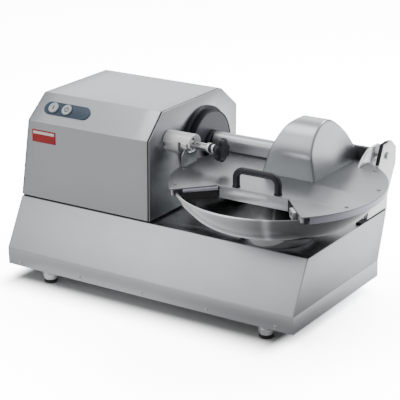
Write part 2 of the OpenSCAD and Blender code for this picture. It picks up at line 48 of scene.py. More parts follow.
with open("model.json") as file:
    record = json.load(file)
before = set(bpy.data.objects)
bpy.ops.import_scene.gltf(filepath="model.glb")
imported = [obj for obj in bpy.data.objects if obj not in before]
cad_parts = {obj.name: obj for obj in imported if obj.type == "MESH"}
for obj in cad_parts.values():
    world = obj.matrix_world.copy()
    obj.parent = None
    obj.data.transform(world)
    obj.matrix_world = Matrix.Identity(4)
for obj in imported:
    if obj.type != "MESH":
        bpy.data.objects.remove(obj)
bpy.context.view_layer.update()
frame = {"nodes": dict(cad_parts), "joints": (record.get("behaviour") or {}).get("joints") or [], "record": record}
JOINTS = {joint["name"]: joint for joint in frame["joints"]}
BODY_OF = {node: body for body, nodes in frame["record"]["behaviour"]["bodies"].items() for node in nodes}
SLOT_OF = {part["node"]: part["material_slot"] for part in frame["record"]["subparts"]}
MM = 0.001
# Thickness of the folded sheet
SHEET = 2 * MM
# How far a cutting block reaches beyond what it cuts
SPARE = 10 * MM

# Soft glows of the studio's air and floor, each with its direction, sharpness and strength
SKY_GLOWS = (
    ((-0.53, -0.72, 0.42), 6.0, 1.5),
    ((-0.52, 0.76, 0.38), 14.0, 2.2),
    ((0.0, 0.0, 1.0), 3.0, 0.5),
    ((0.45, 0.85, 0.2), 4.0, 0.3),
)
GROUND_GLOWS = (
    ((0.56, 0.83, 0.0), 2.5, 1.5),
    ((-0.56, -0.83, 0.0), 2.0, 0.30),
)
# Painted highlights and reflections round the bowl's axis, which brighten and darken its colour, in the same form,
# over an even level
BOWL_PAINTED_LEVEL = 0.30
BOWL_PAINTED_HIGHLIGHTS = (
    ((-0.58, -0.81, 0.0), 2.5, 1.9),
    ((0.12, -0.99, 0.0), 60.0, 0.35),
    ((0.41, -0.91, 0.0), 1400.0, 0.9),
    ((0.97, 0.22, 0.0), 24.0, 0.5),
    ((0.0, 1.0, 0.0), 2.5, 0.9),
)
# Soft lights: name, place, aim, size and power in watts
LAMPS = (
    ("key_light", (-0.9, -0.4, 2.8), (0, 0, 0.2), (1.6, 1.2), 14),
    ("back_light", (0.5, 2.0, 2.6), (0.1, 0, 0.25), (2.0, 1.0), 34),
)


def low(node):
    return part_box(node)[0]


def high(node):
    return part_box(node)[1]


def middle(node):
    return (low(node) + high(node)) / 2


def half_size(node):
    return (high(node) - low(node)) / 2


# ---------------------------------------------------------------- settings


def length(name, default, description):
    return FloatProperty(name=name, default=default, description=description, unit="LENGTH", min=0.0)


def angle(name, default, description):
    return FloatProperty(name=name, default=math.radians(default), description=description, unit="ROTATION")


def level(name, default, description):
    return FloatProperty(name=name, default=default, description=description, min=0.0)


def colour(name, default, description):
    return FloatVectorProperty(
        name=name, default=default, description=description, subtype="COLOR", size=3, min=0.0, max=1.0
    )


class SheetSettings(bpy.types.PropertyGroup):
    """Sizes that all folded sheet-steel pieces share."""

    edge: length("Edge", 0.7 * MM, "Rounding of a cut sheet edge")
    bend: length("Bend", 4 * MM, "Outer radius of a folded corner")


class FootSettings(bpy.types.PropertyGroup):
    """Sizes of the feet."""

    radius: length("Radius", 21 * MM, "Radius at the collar")
    taper: length("Taper", 5 * MM, "How much narrower the foot is above its pad")
    neck: length("Neck", 3 * MM, "Step in above the collar")
    collar: length("Collar", 6 * MM, "Height of the neck above the collar")


class HeadSettings(bpy.types.PropertyGroup):
    """Sizes of the motor head."""

    eave: length("Eave", 202 * MM, "Height of the chamfers' lower edges above the dark joint")
    lean_back: length("Lean back", 7 * MM, "How far the front and rear walls lean to the rear at the eave")
    front_chamfer: length("Front chamfer", 68 * MM, "Distance of the flat top from the front wall's foot")
    rear_chamfer: length("Rear chamfer", 75 * MM, "Distance of the flat top from the rear wall's eave")
    seam: length("Seam", 4.5 * MM, "Width of the groove beside the right wall")
    lean: level("Left lean", 0.141, "Sideways lean of the left wall per height")


class ControlSettings(bpy.types.PropertyGroup):
    """Sizes of the push buttons and of the badge's stripe."""

    height: length("Button height", 4.4 * MM, "Height of a push button")
    straight: length("Button side", 3.2 * MM, "Height of a push button's straight side in the frame")
    dish: length("Dish", 1.2 * MM, "Depth of a push button's hollow")
    rim: length("Rim", 3 * MM, "Width of a push button's rim")
    stripe_foot: length("Stripe foot", 21.4 * MM, "Height of the stripe on the badge")
    stripe_width: length("Stripe width", 7.2 * MM, "Width of the stripe")
    stripe_in: length("Stripe inset", 3.4 * MM, "Distance of the stripe's ends from the badge's ends")


class DrumSettings(bpy.types.PropertyGroup):
    """Sizes of the ribbed cover and the collar round the shaft."""

    step: length("Step", 9 * MM, "How much wider the back disc is than the ribs")
    groove: length("Groove", 4 * MM, "Depth of the grooves between the ribs")
    opening: length("Opening", 32 * MM, "Radius of the opening that the collar fills")
    bore: length("Bore", 14.2 * MM, "Radius of the collar's hole for the shaft")


class BowlSettings(bpy.types.PropertyGroup):
    """Sizes of the spun bowl."""

    ring: length("Ring", 146 * MM, "Radius of the trough's lowest ring")
    trough: length("Trough", 91.5 * MM, "Inside radius of the trough's section")
    wall: length("Wall", 2.5 * MM, "Thickness of the bowl")
    bead: length("Bead", 3.4 * MM, "Radius of the rolled rim")
    foot: length("Foot", 76 * MM, "Radius of the flat foot")
    hub_top: length("Hub top", 326 * MM, "Height of the hub in the middle of the trough")
    steps: IntProperty(name="Steps", default=192, description="Steps round the bowl", min=24)


class MouthSettings(bpy.types.PropertyGroup):
    """Sizes of the feeding opening's fittings, measured from the handle."""

    rim: length("Rim", 28 * MM, "Depth of the lid's rim below its plate")
    left: length("Left", 96 * MM, "Distance of the opening's left corner from the handle's middle")
    right: length("Right", 91.5 * MM, "Distance of the opening's right corner from the handle's middle")
    back: length("Back", 13 * MM, "Distance of the opening's rear edge in front of the handle")
    splay: level("Splay", 0.93, "Sideways run of the opening's ends per run to the front")
    hem: length("Hem", 4.2 * MM, "Radius of the round hem on the left end")
    hem_run: length("Hem run", 62 * MM, "How far the hem runs to the front")
    left_guide: angle("Left guide", 222.4, "Place of the left guide round the bowl")
    right_guide: angle("Right guide", 315.2, "Place of the right guide round the bowl")


class HoodSettings(bpy.types.PropertyGroup):
    """Sizes of the hood over the knives and of the cover over the shaft."""

    crown: length("Crown", 70 * MM, "Radius of the hood's round front and top")
    crown_start: angle("Crown start", 191, "Angle where the front foot meets the round front")
    crown_end: angle("Crown end", 62, "Angle where the round top meets the rear slope")
    foot_back: length("Foot setback", 14 * MM, "How far the front foot stands behind the crown's front")
    slope_foot: length("Slope foot", 15 * MM, "Height of the upright foot behind the slope")
    shoulder: length("Shoulder", 34 * MM, "Radius of the shoulder at the left end")
    shoulder_in: length("Shoulder inset", 85 * MM, "Distance of the shoulder's centre from the left foot")
    lean: angle("Lean", 62.5, "Slope of the hood's left end")
    edge: length("Edge", 5 * MM, "Rounding between the hood's end faces and its wrap")


class HandleSettings(bpy.types.PropertyGroup):
    """Sizes of the lid handle and the knob."""

    bar: length("Bar", 8.5 * MM, "Radius of the handle's bar")
    bend: length("Bend", 20 * MM, "Radius of the handle's bends")
    lobes: IntProperty(name="Lobes", default=7, description="Finger hollows round the knob", min=3)
    lobe_depth: length("Hollow", 4.5 * MM, "Depth of a finger hollow")
    knob: length("Knob", 16 * MM, "Thickness of the knob")
    flat: length("Flat", 17 * MM, "Radius of the knob's plain middle")


class HingeSettings(bpy.types.PropertyGroup):
    """Sizes of the black trim on the right bracket, which paints in the shadow along its leading edge and foot."""

    trim: length("Trim", 1.6 * MM, "Thickness of the edging")
    trim_width: length("Trim width", 9.2 * MM, "Width of the edging")
    bend: length("Bend", 9 * MM, "Radius of the edging's bends")
    bead: length("Bead", 4.6 * MM, "Height of the bead along the bracket's foot")
    bead_run: length("Bead run", 97 * MM, "Length of the bead")


class LatchSettings(bpy.types.PropertyGroup):
    """Sizes of the latch's barrel and collar."""

    bore: length("Bore", 11 * MM, "Radius of the barrel's bore")
    window: length("Window", 45 * MM, "Distance of the window from the barrel's left end")
    collar_bore: length("Collar bore", 10.2 * MM, "Radius of the collar's bore")
    collar: length("Collar", 28 * MM, "Length of the collar")
    notch: length("Notch", 10 * MM, "Length of the notch at the barrel's left end")


class FinishSettings(bpy.types.PropertyGroup):
    """Base colours of the finishes."""

    sheet: colour("Sheet steel", (0.575, 0.595, 0.615), "Brushed sheet panels")
    spun: colour("Spun steel", (0.55, 0.56, 0.57), "Bowl and stand")
    bright: colour("Bright steel", (0.80, 0.80, 0.81), "Turned and plated steel")
    plastic: colour("Black plastic", (0.008, 0.008, 0.018), "Handle, knob and shaft cover")
    slate: colour("Slate plate", (0.036, 0.068, 0.11), "Control plate")
    cream: colour("Pale button", (0.62, 0.66, 0.66), "Push buttons")
    red: colour("Red enamel", (0.42, 0.016, 0.02), "Badge")
    enamel: colour("Dark enamel", (0.05, 0.055, 0.06), "Motors and brackets inside")


class StudioSettings(bpy.types.PropertyGroup):
    """The camera, the floor and the even light."""

    azimuth: angle("Azimuth", 33.9, "Camera's angle round the machine from the front")
    elevation: angle("Elevation", 19.5, "Camera's angle above the horizon")
    roll: angle("Roll", -0.9, "Camera's roll")
    distance: length("Distance", 3.7602, "Camera's distance from its aim")
    aim: FloatVectorProperty(
        name="Aim", default=(-0.0495, 0.033, 0.2121), description="Point that the camera aims at",
        subtype="TRANSLATION", unit="LENGTH", size=3
    )
    lens: level("Lens", 134.2, "Focal length in millimetres")
    paper: level("Paper", 15.0, "Brightness of the floor as seen")
    # The contact shadow is painted into the floor's colour
    shade: level("Shade", 0.97, "Depth of the contact shadow, up to 1")
    dome: level("Dome", 0.42, "Strength of the even light all round")
    ground: level("Ground", 0.38, "Even glow of the floor in reflections")


# ---------------------------------------------------------------- shader writing


class Value:
    """A shader socket that takes part in Python arithmetic."""

    def __init__(self, net, socket):
        self.net = net
        self.socket = socket

    def maths(self, operation, *values):
        return self.net.node("ShaderNodeMath", {"operation": operation}, dict(enumerate(values)))

    def __add__(self, other):
        return self.maths("ADD", self, other)

    __radd__ = __add__

    def __sub__(self, other):
        return self.maths("SUBTRACT", self, other)

    def __rsub__(self, other):
        return self.maths("SUBTRACT", other, self)

    def __mul__(self, other):
        return self.maths("MULTIPLY", self, other)

    __rmul__ = __mul__

    def __pow__(self, other):
        return self.maths("POWER", self, other)


class Net:
    """The node tree of one material or world."""

    def __init__(self, name, library="materials"):
        self.material = getattr(bpy.data, library).new(name)
        self.material.use_nodes = True
        self.tree = self.material.node_tree
        self.tree.nodes.clear()

    def node(self, kind, settings=None, sockets=None, out=0):
        made = self.tree.nodes.new(kind)
        for key, value in (settings or {}).items():
            if key == "stops":
                self.set_stops(made.color_ramp, value)
            else:
                setattr(made, key, value)
        for key, value in (sockets or {}).items():
            if isinstance(value, Value):
                self.tree.links.new(value.socket, made.inputs[key])
            else:
                made.inputs[key].default_value = value
        return Value(self, made.outputs[out]) if made.outputs else None

    @staticmethod
    def set_stops(ramp, stops):
        while len(ramp.elements) < len(stops):
            ramp.elements.new(0.5)
        for element, (position, shade) in zip(ramp.elements, stops):
            element.position = position
            element.color = (shade, shade, shade, 1.0)

    def vector(self, operation, sockets, out="Vector"):
        return self.node("ShaderNodeVectorMath", {"operation": operation}, sockets, out=out)

    def mix(self, factor, first, second):
        return self.node("ShaderNodeMix", {"data_type": "RGBA"}, {0: factor, 6: first, 7: second}, out=2)

    def noise(self, vector, scale, detail=2.0, roughness=0.5):
        sockets = {"Vector": vector, "Scale": scale, "Detail": detail, "Roughness": roughness}
        return self.node("ShaderNodeTexNoise", None, sockets, out="Fac")

    def ramp(self, factor, stops):
        return self.node("ShaderNodeValToRGB", {"stops": stops}, {"Fac": factor})

    def place(self):
        return self.node("ShaderNodeTexCoord", out="Object")

    def stretched(self, vector, scale):
        return self.node("ShaderNodeMapping", None, {"Vector": vector, "Scale": scale})

    def glows(self, direction, even, glows):
        """An even level with a soft glow round each (axis, sharpness, strength)."""
        total = even
        for axis, sharpness, strength in glows:
            along = self.vector("DOT_PRODUCT", {0: direction, 1: Vector(axis).normalized()}, "Value")
            total = along.maths("MAXIMUM", along, 0.0) ** sharpness * strength + total
        return total

    def bump(self, height, distance, strength=1.0):
        sockets = {"Height": height, "Distance": distance, "Strength": strength}
        return self.node("ShaderNodeBump", None, sockets)

    def surface(self, sockets):
        shader = self.node("ShaderNodeBsdfPrincipled", None, sockets)
        self.node("ShaderNodeOutputMaterial", None, {"Surface": shader})
        return self.material


def shade_of(rgb, factor):
    """A four-part colour, lighter or darker than rgb."""
    return (*(min(1.0, part * factor) for part in rgb), 1.0)


def scaled(rgb, factor):
    return [part * factor for part in rgb]


def ring_place(net, centre):
    """Coordinates that make turned rings of a noise, and the direction outwards from an upright axis."""
    moved = net.vector("SUBTRACT", {0: net.place(), 1: centre})
    flat = net.vector("MULTIPLY", {0: moved, 1: (1.0, 1.0, 0.0)})
    radius = net.vector("LENGTH", {0: flat}, "Value")
    around = net.vector("NORMALIZE", {0: flat})
    x, y, z = [net.node("ShaderNodeSeparateXYZ", None, {0: vector}, out=part)
               for vector, part in ((around, "X"), (around, "Y"), (moved, "Z"))]
    rings = 1400
    lines_at = net.node("ShaderNodeCombineXYZ", None, {
        "X": radius * rings + z * rings, "Y": x * 2, "Z": y * 2})
    return lines_at, around


def steel(name, rgb, rough, grain, centre=(0, 0, 0), streak=0.10, contrast=0.07, dents=0.0, painted_highlights=(),
          metallic=1.0):
    """Brushed stainless steel. grain is x, y or z for straight brushing, or ring for a turned finish."""
    net = Net(name)
    if grain == "ring":
        lines_at, around = ring_place(net, centre)
    else:
        scale = [2600, 2600, 2600]
        scale["xyz".index(grain)] = 14
        lines_at = net.stretched(net.place(), scale)
    fine = net.noise(lines_at, 1.0, 3.0, 0.6)
    broad = net.noise(lines_at, 0.16, 2.0, 0.5)
    cloud = net.noise(net.place(), 7.0, 3.0, 0.55)
    handled = net.ramp(net.noise(net.place(), 31.0, 4.0, 0.6), [(0.50, 0.0), (0.72, 1.0)])
    tone = (fine + broad) * 0.5
    base = net.mix(tone, shade_of(rgb, 1 - contrast), shade_of(rgb, 1 + contrast))
    base = net.mix(cloud, base, net.mix(0.5, base, shade_of(rgb, 0.86)))
    # Painted highlights: the base colour is scaled by fixed glows round the bowl's axis, which stand for
    # reflections
    if painted_highlights:
        base = net.vector("SCALE", {0: base, "Scale": net.glows(around, BOWL_PAINTED_LEVEL, painted_highlights)})
    gloss = rough + (tone - 0.5) * streak + (cloud - 0.5) * 0.10 + handled * 0.035
    height = net.bump(tone, 0.00006, 0.35)
    sockets = {"Base Color": base, "Metallic": metallic, "Roughness": gloss, "Normal": height}
    if dents:
        waves = net.noise(net.place(), 9.0, 1.0, 0.4)
        sockets["Normal"] = net.node("ShaderNodeBump", None, {
            "Height": waves, "Distance": dents, "Strength": 1.0, "Normal": height})
    return net.surface(sockets)


def plastic(name, rgb, rough, grain=1500.0, depth=0.00005, worn=1.5, coat=0.0):
    """Moulded plastic with a fine spark-eroded grain, soft handling marks and paler worn edges."""
    net = Net(name)
    grains = net.noise(net.place(), grain, 3.0, 0.6)
    marks = net.noise(net.place(), 40.0, 4.0, 0.6)
    edge = net.ramp(net.node("ShaderNodeNewGeometry", out="Pointiness"), [(0.50, 0.0), (0.58, 1.0)])
    base = net.mix(marks, shade_of(rgb, 0.85), shade_of(rgb, 1.2))
    base = net.mix(edge * 0.5, base, shade_of([part + 0.01 for part in rgb], worn))
    return net.surface({
        "Base Color": base, "Roughness": rough + (marks - 0.5) * 0.16,
        "Normal": net.bump(grains, depth, 0.6), "Coat Weight": coat})


def enamel(name, rgb, rough):
    """Stoved enamel with orange peel and small bare chips."""
    net = Net(name)
    peel = net.noise(net.place(), 420.0, 2.0, 0.5)
    cloud = net.noise(net.place(), 14.0, 3.0, 0.5)
    chips = net.ramp(net.noise(net.place(), 260.0, 3.0, 0.6), [(0.70, 0.0), (0.73, 1.0)])
    base = net.mix(cloud, shade_of(rgb, 0.88), shade_of(rgb, 1.1))
    base = net.mix(chips * 0.4, base, (0.35, 0.35, 0.34, 1.0))
    return net.surface({
        "Base Color": base, "Roughness": rough + (cloud - 0.5) * 0.12 + chips * 0.1,
        "Metallic": 0.0, "Normal": net.bump(peel, 0.00008, 0.4)})


def cast_metal(name, rgb, rough):
    """Bead-blasted light casting."""
    net = Net(name)
    beads = net.noise(net.place(), 900.0, 3.0, 0.6)
    cloud = net.noise(net.place(), 30.0, 3.0, 0.5)
    base = net.mix(cloud, shade_of(rgb, 0.9), shade_of(rgb, 1.06))
    return net.surface({
        "Base Color": base, "Metallic": 0.75, "Roughness": rough + (cloud - 0.5) * 0.14,
        "Normal": net.bump(beads, 0.00012, 0.5)})


def make_finishes(colours):
    bowl_axis = (*middle("bowl")[:2], 0.0)
    shaft = tuple(middle("knife_shaft"))
    sheet, spun, bright = colours.sheet, colours.spun, colours.bright
    return {
        "panel": steel("panel_steel", sheet, 0.34, "x", dents=0.0004),
        # A lighter copy of the panel steel: painted light for the base's brighter look
        "pale": steel("panel_steel_painted_light", scaled(sheet, 1.16), 0.34, "x", dents=0.0004),
        "side": steel("side_steel", sheet, 0.32, "y", dents=0.0004),
        # A darker copy of the sheet steel: painted shade and dark reflections on the deck under the bowl
        "deck": steel("deck_steel_painted_shade", scaled(sheet, 0.54), 0.30, "x"),
        # A darker copy of the sheet steel: painted dark reflections on the lid
        "lid": steel("lid_steel_painted_shade", scaled(sheet, 0.60), 0.34, "x", streak=0.04, contrast=0.03),
        # Near-white steel: painted light for the brightly lit bracket plates and ears
        "plate": steel("plate_steel_painted_light", (0.95, 0.96, 0.97), 0.36, "z", streak=0.04, contrast=0.03),
        # A darker copy of the sheet steel: painted shade for the screws and the latch bracket, which look dark
        "screw": steel("dark_steel_painted_shade", scaled(sheet, 0.5), 0.3, "x"),
        "hood": steel("hood_steel", scaled(sheet, 1.08), 0.33, "x"),
        "spun": steel("spun_steel", spun, 0.14, "ring", bowl_axis, streak=0.14, contrast=0.12),
        # The bowl's colour carries painted highlights round its axis
        "bowl": steel("bowl_steel_painted_highlights", spun, 0.17, "ring", bowl_axis, streak=0.14, contrast=0.12,
                      painted_highlights=BOWL_PAINTED_HIGHLIGHTS, metallic=0.78),
        "bright": steel("bright_steel", bright, 0.10, "x", contrast=0.04, streak=0.04),
        "turned": steel("turned_steel", bright, 0.20, "x", shaft, contrast=0.05),
        "strip": steel("violet_wear_strip", (0.46, 0.46, 0.54), 0.26, "x", streak=0.05),
        "cast": cast_metal("blasted_casting", (0.80, 0.80, 0.81), 0.42),
        "black": plastic("black_plastic", colours.plastic, 0.42),
        "rubber": plastic("black_rubber", (0.010, 0.010, 0.011), 0.70, grain=900.0, depth=0.00008),
        "seal": plastic("grey_seal_rubber", (0.035, 0.036, 0.038), 0.60, grain=900.0, depth=0.00008),
        "face": plastic("violet_grey_face", (0.085, 0.088, 0.115), 0.36, worn=1.2),
        "slate": plastic("slate_plate", colours.slate, 0.40, worn=1.6),
        "cream": plastic("pale_button", colours.cream, 0.30, depth=0.00002, worn=1.05, coat=0.3),
        "red": enamel("red_enamel", colours.red, 0.32),
        "white": enamel("white_enamel", (0.85, 0.85, 0.83), 0.35),
        "ink": enamel("dark_print_and_painted_shade", (0.03, 0.035, 0.04), 0.5),
        "enamel": enamel("dark_enamel", colours.enamel, 0.42),
    }


FINISH = {}


# ---------------------------------------------------------------- mesh writing


def link_object(name, data):
    made = bpy.data.objects.new(name, data)
    bpy.context.scene.collection.objects.link(made)
    return made


def link_mesh(name, made):
    """A new object from a finished bmesh."""
    mesh = bpy.data.meshes.new(name)
    made.to_mesh(mesh)
    made.free()
    return link_object(name, mesh)


def add_piece(name, made, body, slot, finish, replaced=(), sharp=35.0, modifiers=()):
    """Links a finished mesh to its body, finish and the CAD nodes that it stands for; slot is not used."""
    bmesh.ops.recalc_face_normals(made, faces=made.faces)
    piece = link_mesh(name, made)
    for kind, settings in modifiers:
        modifier = piece.modifiers.new(kind.lower(), kind)
        for key, value in settings.items():
            setattr(modifier, key, value)
    if modifiers:
        apply_modifiers(piece)
    piece.data.materials.clear()
    piece.data.materials.append(FINISH[finish])
    piece.data.shade_smooth()
    piece.data.set_sharp_from_angle(angle=math.radians(sharp))
    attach(piece, body)
    if replaced:
        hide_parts(*replaced)


def apply_modifiers(piece):
    graph = bpy.context.evaluated_depsgraph_get()
    made = bpy.data.meshes.new_from_object(piece.evaluated_get(graph), depsgraph=graph)
    old = piece.data
    piece.modifiers.clear()
    piece.data = made
    bpy.data.meshes.remove(old)
    made.name = piece.name


def loft(sections, closed_along=False, closed_across=True):
    """A skin through a list of equally long rings of points."""
    made = bmesh.new()
    rings = [[made.verts.new(point) for point in section] for section in sections]
    count = len(rings[0])
    last = len(rings) if closed_along else len(rings) - 1
    for i in range(last):
        first, second = rings[i], rings[(i + 1) % len(rings)]
        for k in range(count if closed_across else count - 1):
            corners = [first[k], first[(k + 1) % count], second[(k + 1) % count], second[k]]
            made.faces.new(corners)
    return made, rings


def solid_loft(sections):
    """A closed skin with a flat cap on its first and last ring."""
    made, rings = loft(sections)
    made.faces.new(rings[0])
    made.faces.new(rings[-1])
    return made


def close_band(made, ends):
    """Closes the given end rings with faces between each point and the one that faces it."""
    for ring in ends:
        for k in range(len(ring) // 2 - 1):
            made.faces.new([ring[k], ring[k + 1], ring[-k - 2], ring[-k - 1]])


def screw_profile(radius, height, corner):
    """Half the section of a plain round head, from the axis out and back."""
    return rounded([(0, 0), (radius, 0), (radius, height), (0, height)], corner, 3, closed=False)


def neighbours(path, i):
    """The points before and after one on an open path, or the point itself at an end."""
    return path[max(0, i - 1)], path[min(len(path) - 1, i + 1)]


def thickened(depth):
    return "SOLIDIFY", {"thickness": depth, "offset": -1.0}


def softened(width):
    return "BEVEL", {"width": width, "segments": 2, "limit_method": "ANGLE", "angle_limit": math.radians(50)}


def taken_away(block):
    return "BOOLEAN", {"operation": "DIFFERENCE", "object": block, "solver": "EXACT"}


def tidy(made, distance=1e-6):
    bmesh.ops.remove_doubles(made, verts=made.verts, dist=distance)
    bmesh.ops.dissolve_degenerate(made, edges=made.edges, dist=distance)
    return made


def arc(centre, radius, start, stop, steps):
    """Points on an arc, with its angles in degrees."""
    turn = [math.radians(start + (stop - start) * i / steps) for i in range(steps + 1)]
    return [(centre[0] + radius * math.cos(a), centre[1] + radius * math.sin(a)) for a in turn]


def oblong(first, second):
    """The four corners over a span on each of two directions."""
    return [(first[0], second[0]), (first[1], second[0]), (first[1], second[1]), (first[0], second[1])]


def rounded(points, radius, steps=5, closed=True):
    """The outline with its corners turned into arcs of at most that radius."""
    made = []
    count = len(points)
    for i, point in enumerate(points):
        here = Vector(point)
        if not closed and i in (0, count - 1):
            made.append(tuple(here))
            continue
        before = Vector(points[i - 1]) - here
        after = Vector(points[(i + 1) % count]) - here
        half = before.angle(after) / 2
        if half > math.radians(87):
            made.append(tuple(here))
            continue
        cut = min(radius / math.tan(half), before.length * 0.48, after.length * 0.48)
        start = here + before.normalized() * cut
        stop = here + after.normalized() * cut
        for k in range(steps + 1):
            t = k / steps
            made.append(tuple(start * (1 - t) ** 2 + here * 2 * t * (1 - t) + stop * t ** 2))
    return made


def lathe(profile, axis_point, axis="z", steps=96, closed=True):
    """A turned solid from (radius, height) points; height runs along the axis from axis_point."""
    turns = {"x": Matrix.Rotation(math.radians(90), 3, "Y"), "z": Matrix.Identity(3)}
    turn = turns[axis] if isinstance(axis, str) else Vector((0, 0, 1)).rotation_difference(axis).to_matrix()
    sections = []
    for i in range(steps):
        a = 2 * math.pi * i / steps
        ring = [Vector((r * math.cos(a), r * math.sin(a), h)) for r, h in profile]
        sections.append([turn @ point + Vector(axis_point) for point in ring])
    made, _ = loft(sections, closed_along=True, closed_across=closed)
    return tidy(made)


def plate(outline, start, stop, edge, axis="x"):
    """A flat plate from start to stop along X or Z, with softened edges. The outline holds the other axes."""
    def put(point, depth):
        return (depth, *point) if axis == "x" else (*point, depth)

    steps = 3
    turns = [math.pi / 2 * (1 - k / steps) for k in range(steps + 1)]
    levels = [(start + edge * (1 - math.sin(a)), edge * (1 - math.cos(a))) for a in turns]
    levels += [(stop - (depth - start), inset) for depth, inset in reversed(levels)]
    return tidy(solid_loft([[put(p, depth) for p in shrink(outline, inset)] for depth, inset in levels]))


def upright_block(centre, along, across, spans, heights, corner, edge):
    """An upright block over a (from, to) span on each direction, between two heights."""
    spots = [centre + along * a + across * b for a, b in oblong(*spans)]
    outline = rounded([(p.x, p.y) for p in spots], corner, 3)
    return plate(outline, *heights, edge, axis="z")


def shrink(outline, distance):
    """The closed outline moved inwards by a small distance along its corners' bisectors."""
    if distance < 1e-9:
        return list(outline)
    count = len(outline)
    area = sum(outline[i - 1][0] * outline[i][1] - outline[i][0] * outline[i - 1][1] for i in range(count))
    side = 1.0 if area > 0 else -1.0
    made = []
    for i in range(count):
        here = Vector(outline[i])
        before = (here - Vector(outline[i - 1])).normalized()
        after = (Vector(outline[(i + 1) % count]) - here).normalized()
        normal = Vector((-before.y - after.y, before.x + after.x)) * side
        scale = max(0.35, normal.length / 2)
        made.append(tuple(here + normal.normalized() * distance / scale))
    return made


def soften(node, finish, width, steps=2):
    """A copy of a CAD node with clean faces and rounded edges, which stands for it."""
    made = bmesh.new()
    made.from_mesh(frame["nodes"][node].data)
    bmesh.ops.remove_doubles(made, verts=made.verts, dist=2e-6)
    bmesh.ops.dissolve_limit(
        made, angle_limit=math.radians(0.6), verts=made.verts, edges=made.edges,
        use_dissolve_boundaries=False)
    if width:
        corners = [e for e in made.edges if e.is_manifold and e.calc_face_angle(0) > math.radians(30)]
        bmesh.ops.bevel(
            made, geom=corners, offset=width, segments=steps, profile=0.5, affect="EDGES",
            clamp_overlap=True)
    add_piece(f"{node}_finish", made, BODY_OF[node], SLOT_OF[node], finish, [node])


def soften_all(rows):
    for node, finish, width in rows:
        soften(node, finish, width)


# ---------------------------------------------------------------- operators


class CutterOperator(bpy.types.Operator):
    """Common to all the makers."""

    bl_options = {"REGISTER", "UNDO"}


class CUTTER_OT_finishes(CutterOperator):
    """Makes every finish."""

    bl_idname = "cutter.finishes"
    bl_label = "Finishes"

    def execute(self, context):
        FINISH.update(make_finishes(context.scene.cutter_finish))
        return {"FINISHED"}


class CUTTER_OT_base(CutterOperator):
    """Makes the base: tray, sloped panels, deck, feet and screws."""

    bl_idname = "cutter.base"
    bl_label = "Base"

    def execute(self, context):
        edge = context.scene.cutter_sheet.edge
        soften_all([
            ("base_tray", "pale", edge), ("rear_skirt", "pale", edge), ("front_panel", "pale", edge),
            ("rear_panel", "panel", edge), ("left_panel", "side", edge), ("right_panel", "side", edge),
            ("deck_plate", "deck", edge), ("chassis_rails", "enamel", edge),
            ("skirt_screws", "bright", 0.5 * MM)])
        self.feet(context.scene.cutter_foot)
        return {"FINISHED"}

    @staticmethod
    def feet(size):
        tray = low("base_tray").z
        lo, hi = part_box("feet")
        pad_top = high("foot_pads").z
        wide, neck, collar = size.radius, size.radius - size.neck, hi.z - size.collar
        spots = [(x, y) for x in (lo.x + wide, hi.x - wide) for y in (lo.y + wide, hi.y - wide)]
        shape = [
            (0, pad_top), (wide - size.taper, pad_top), (wide, collar),
            (neck, collar), (neck, tray), (0, tray)]
        pad = [(0, 0), (wide - 6 * MM, 0), (wide - 3.5 * MM, 3 * MM), (wide - 4 * MM, pad_top), (0, pad_top)]
        kinds = (
            ("foot", rounded(shape, 1.5 * MM), "satin_steel", "bright", "feet"),
            ("foot_pad", rounded(pad, 1.2 * MM), "black_rubber", "rubber", "foot_pads"),
        )
        for i, spot in enumerate(spots):
            for name, outline, slot, finish, node in kinds:
                made = lathe(outline, (*spot, 0), steps=48)
                add_piece(f"{name}_{i + 1}", made, "machine", slot, finish, [] if i else [node])


class CUTTER_OT_head(CutterOperator):
    """Makes the motor head: the folded cover, its end walls, the dark joint and the louvres."""

    bl_idname = "cutter.head"
    bl_label = "Motor head"

    def execute(self, context):
        sheet, head = context.scene.cutter_sheet, context.scene.cutter_head
        self.cover(sheet, head)
        self.seam(sheet, head)
        soften_all([
            ("head_left_wall", "side", sheet.edge), ("head_right_wall", "side", sheet.edge),
            ("head_gasket", "rubber", 0), ("vent_louvres", "panel", 0.4 * MM)])
        return {"FINISHED"}

    @staticmethod
    def profile(sheet, head, inset=0.0):
        """The head's section across its length: leaning walls, chamfers and the flat top."""
        top = high("head_cover").z - inset
        foot = high("head_gasket").z
        # A small part of the inset does for the sloped faces
        share = inset * 0.4
        eave = foot + head.eave - share
        front, rear = low("head_right_wall").y, high("head_right_wall").y
        points = [
            (front + inset, foot), (front + head.lean_back + inset, eave),
            (front + head.front_chamfer + share, top), (rear - head.rear_chamfer - share, top),
            (rear - inset, eave), (rear - head.lean_back - inset, foot)]
        return rounded(points, sheet.bend, 6, closed=False)

    def seam(self, sheet, head):
        """Dark liner at the bottom of the groove between the cover and the right wall."""
        stop = high("head_right_wall").x - 0.3 * MM
        start = stop - SHEET - head.seam
        outer = self.profile(sheet, head, 0.9 * MM)
        inner = self.profile(sheet, head, 1.7 * MM)
        loop = outer + inner[::-1]
        made, rings = loft([[(x, y, z) for y, z in loop] for x in (start, stop)])
        close_band(made, rings)
        add_piece("head_seam_liner", made, "machine", "black_rubber", "rubber")

    def cover(self, sheet, head):
        outline = self.profile(sheet, head)
        foot = low("head_gasket").z
        stop = high("head_right_wall").x - SHEET - head.seam
        start = low("head_left_wall").x + SHEET + 0.4 * MM
        columns = 8

        def ring(t):
            left = [start + head.lean * (z - foot) for _, z in outline]
            return [(x + (stop - x) * t, y, z) for x, (y, z) in zip(left, outline)]

        made, _ = loft([ring(k / columns) for k in range(columns + 1)], closed_across=False)
        add_piece("head_folded_cover", made, "machine", "brushed_steel", "panel", ["head_cover"],
                  modifiers=[thickened(SHEET), softened(sheet.edge)])


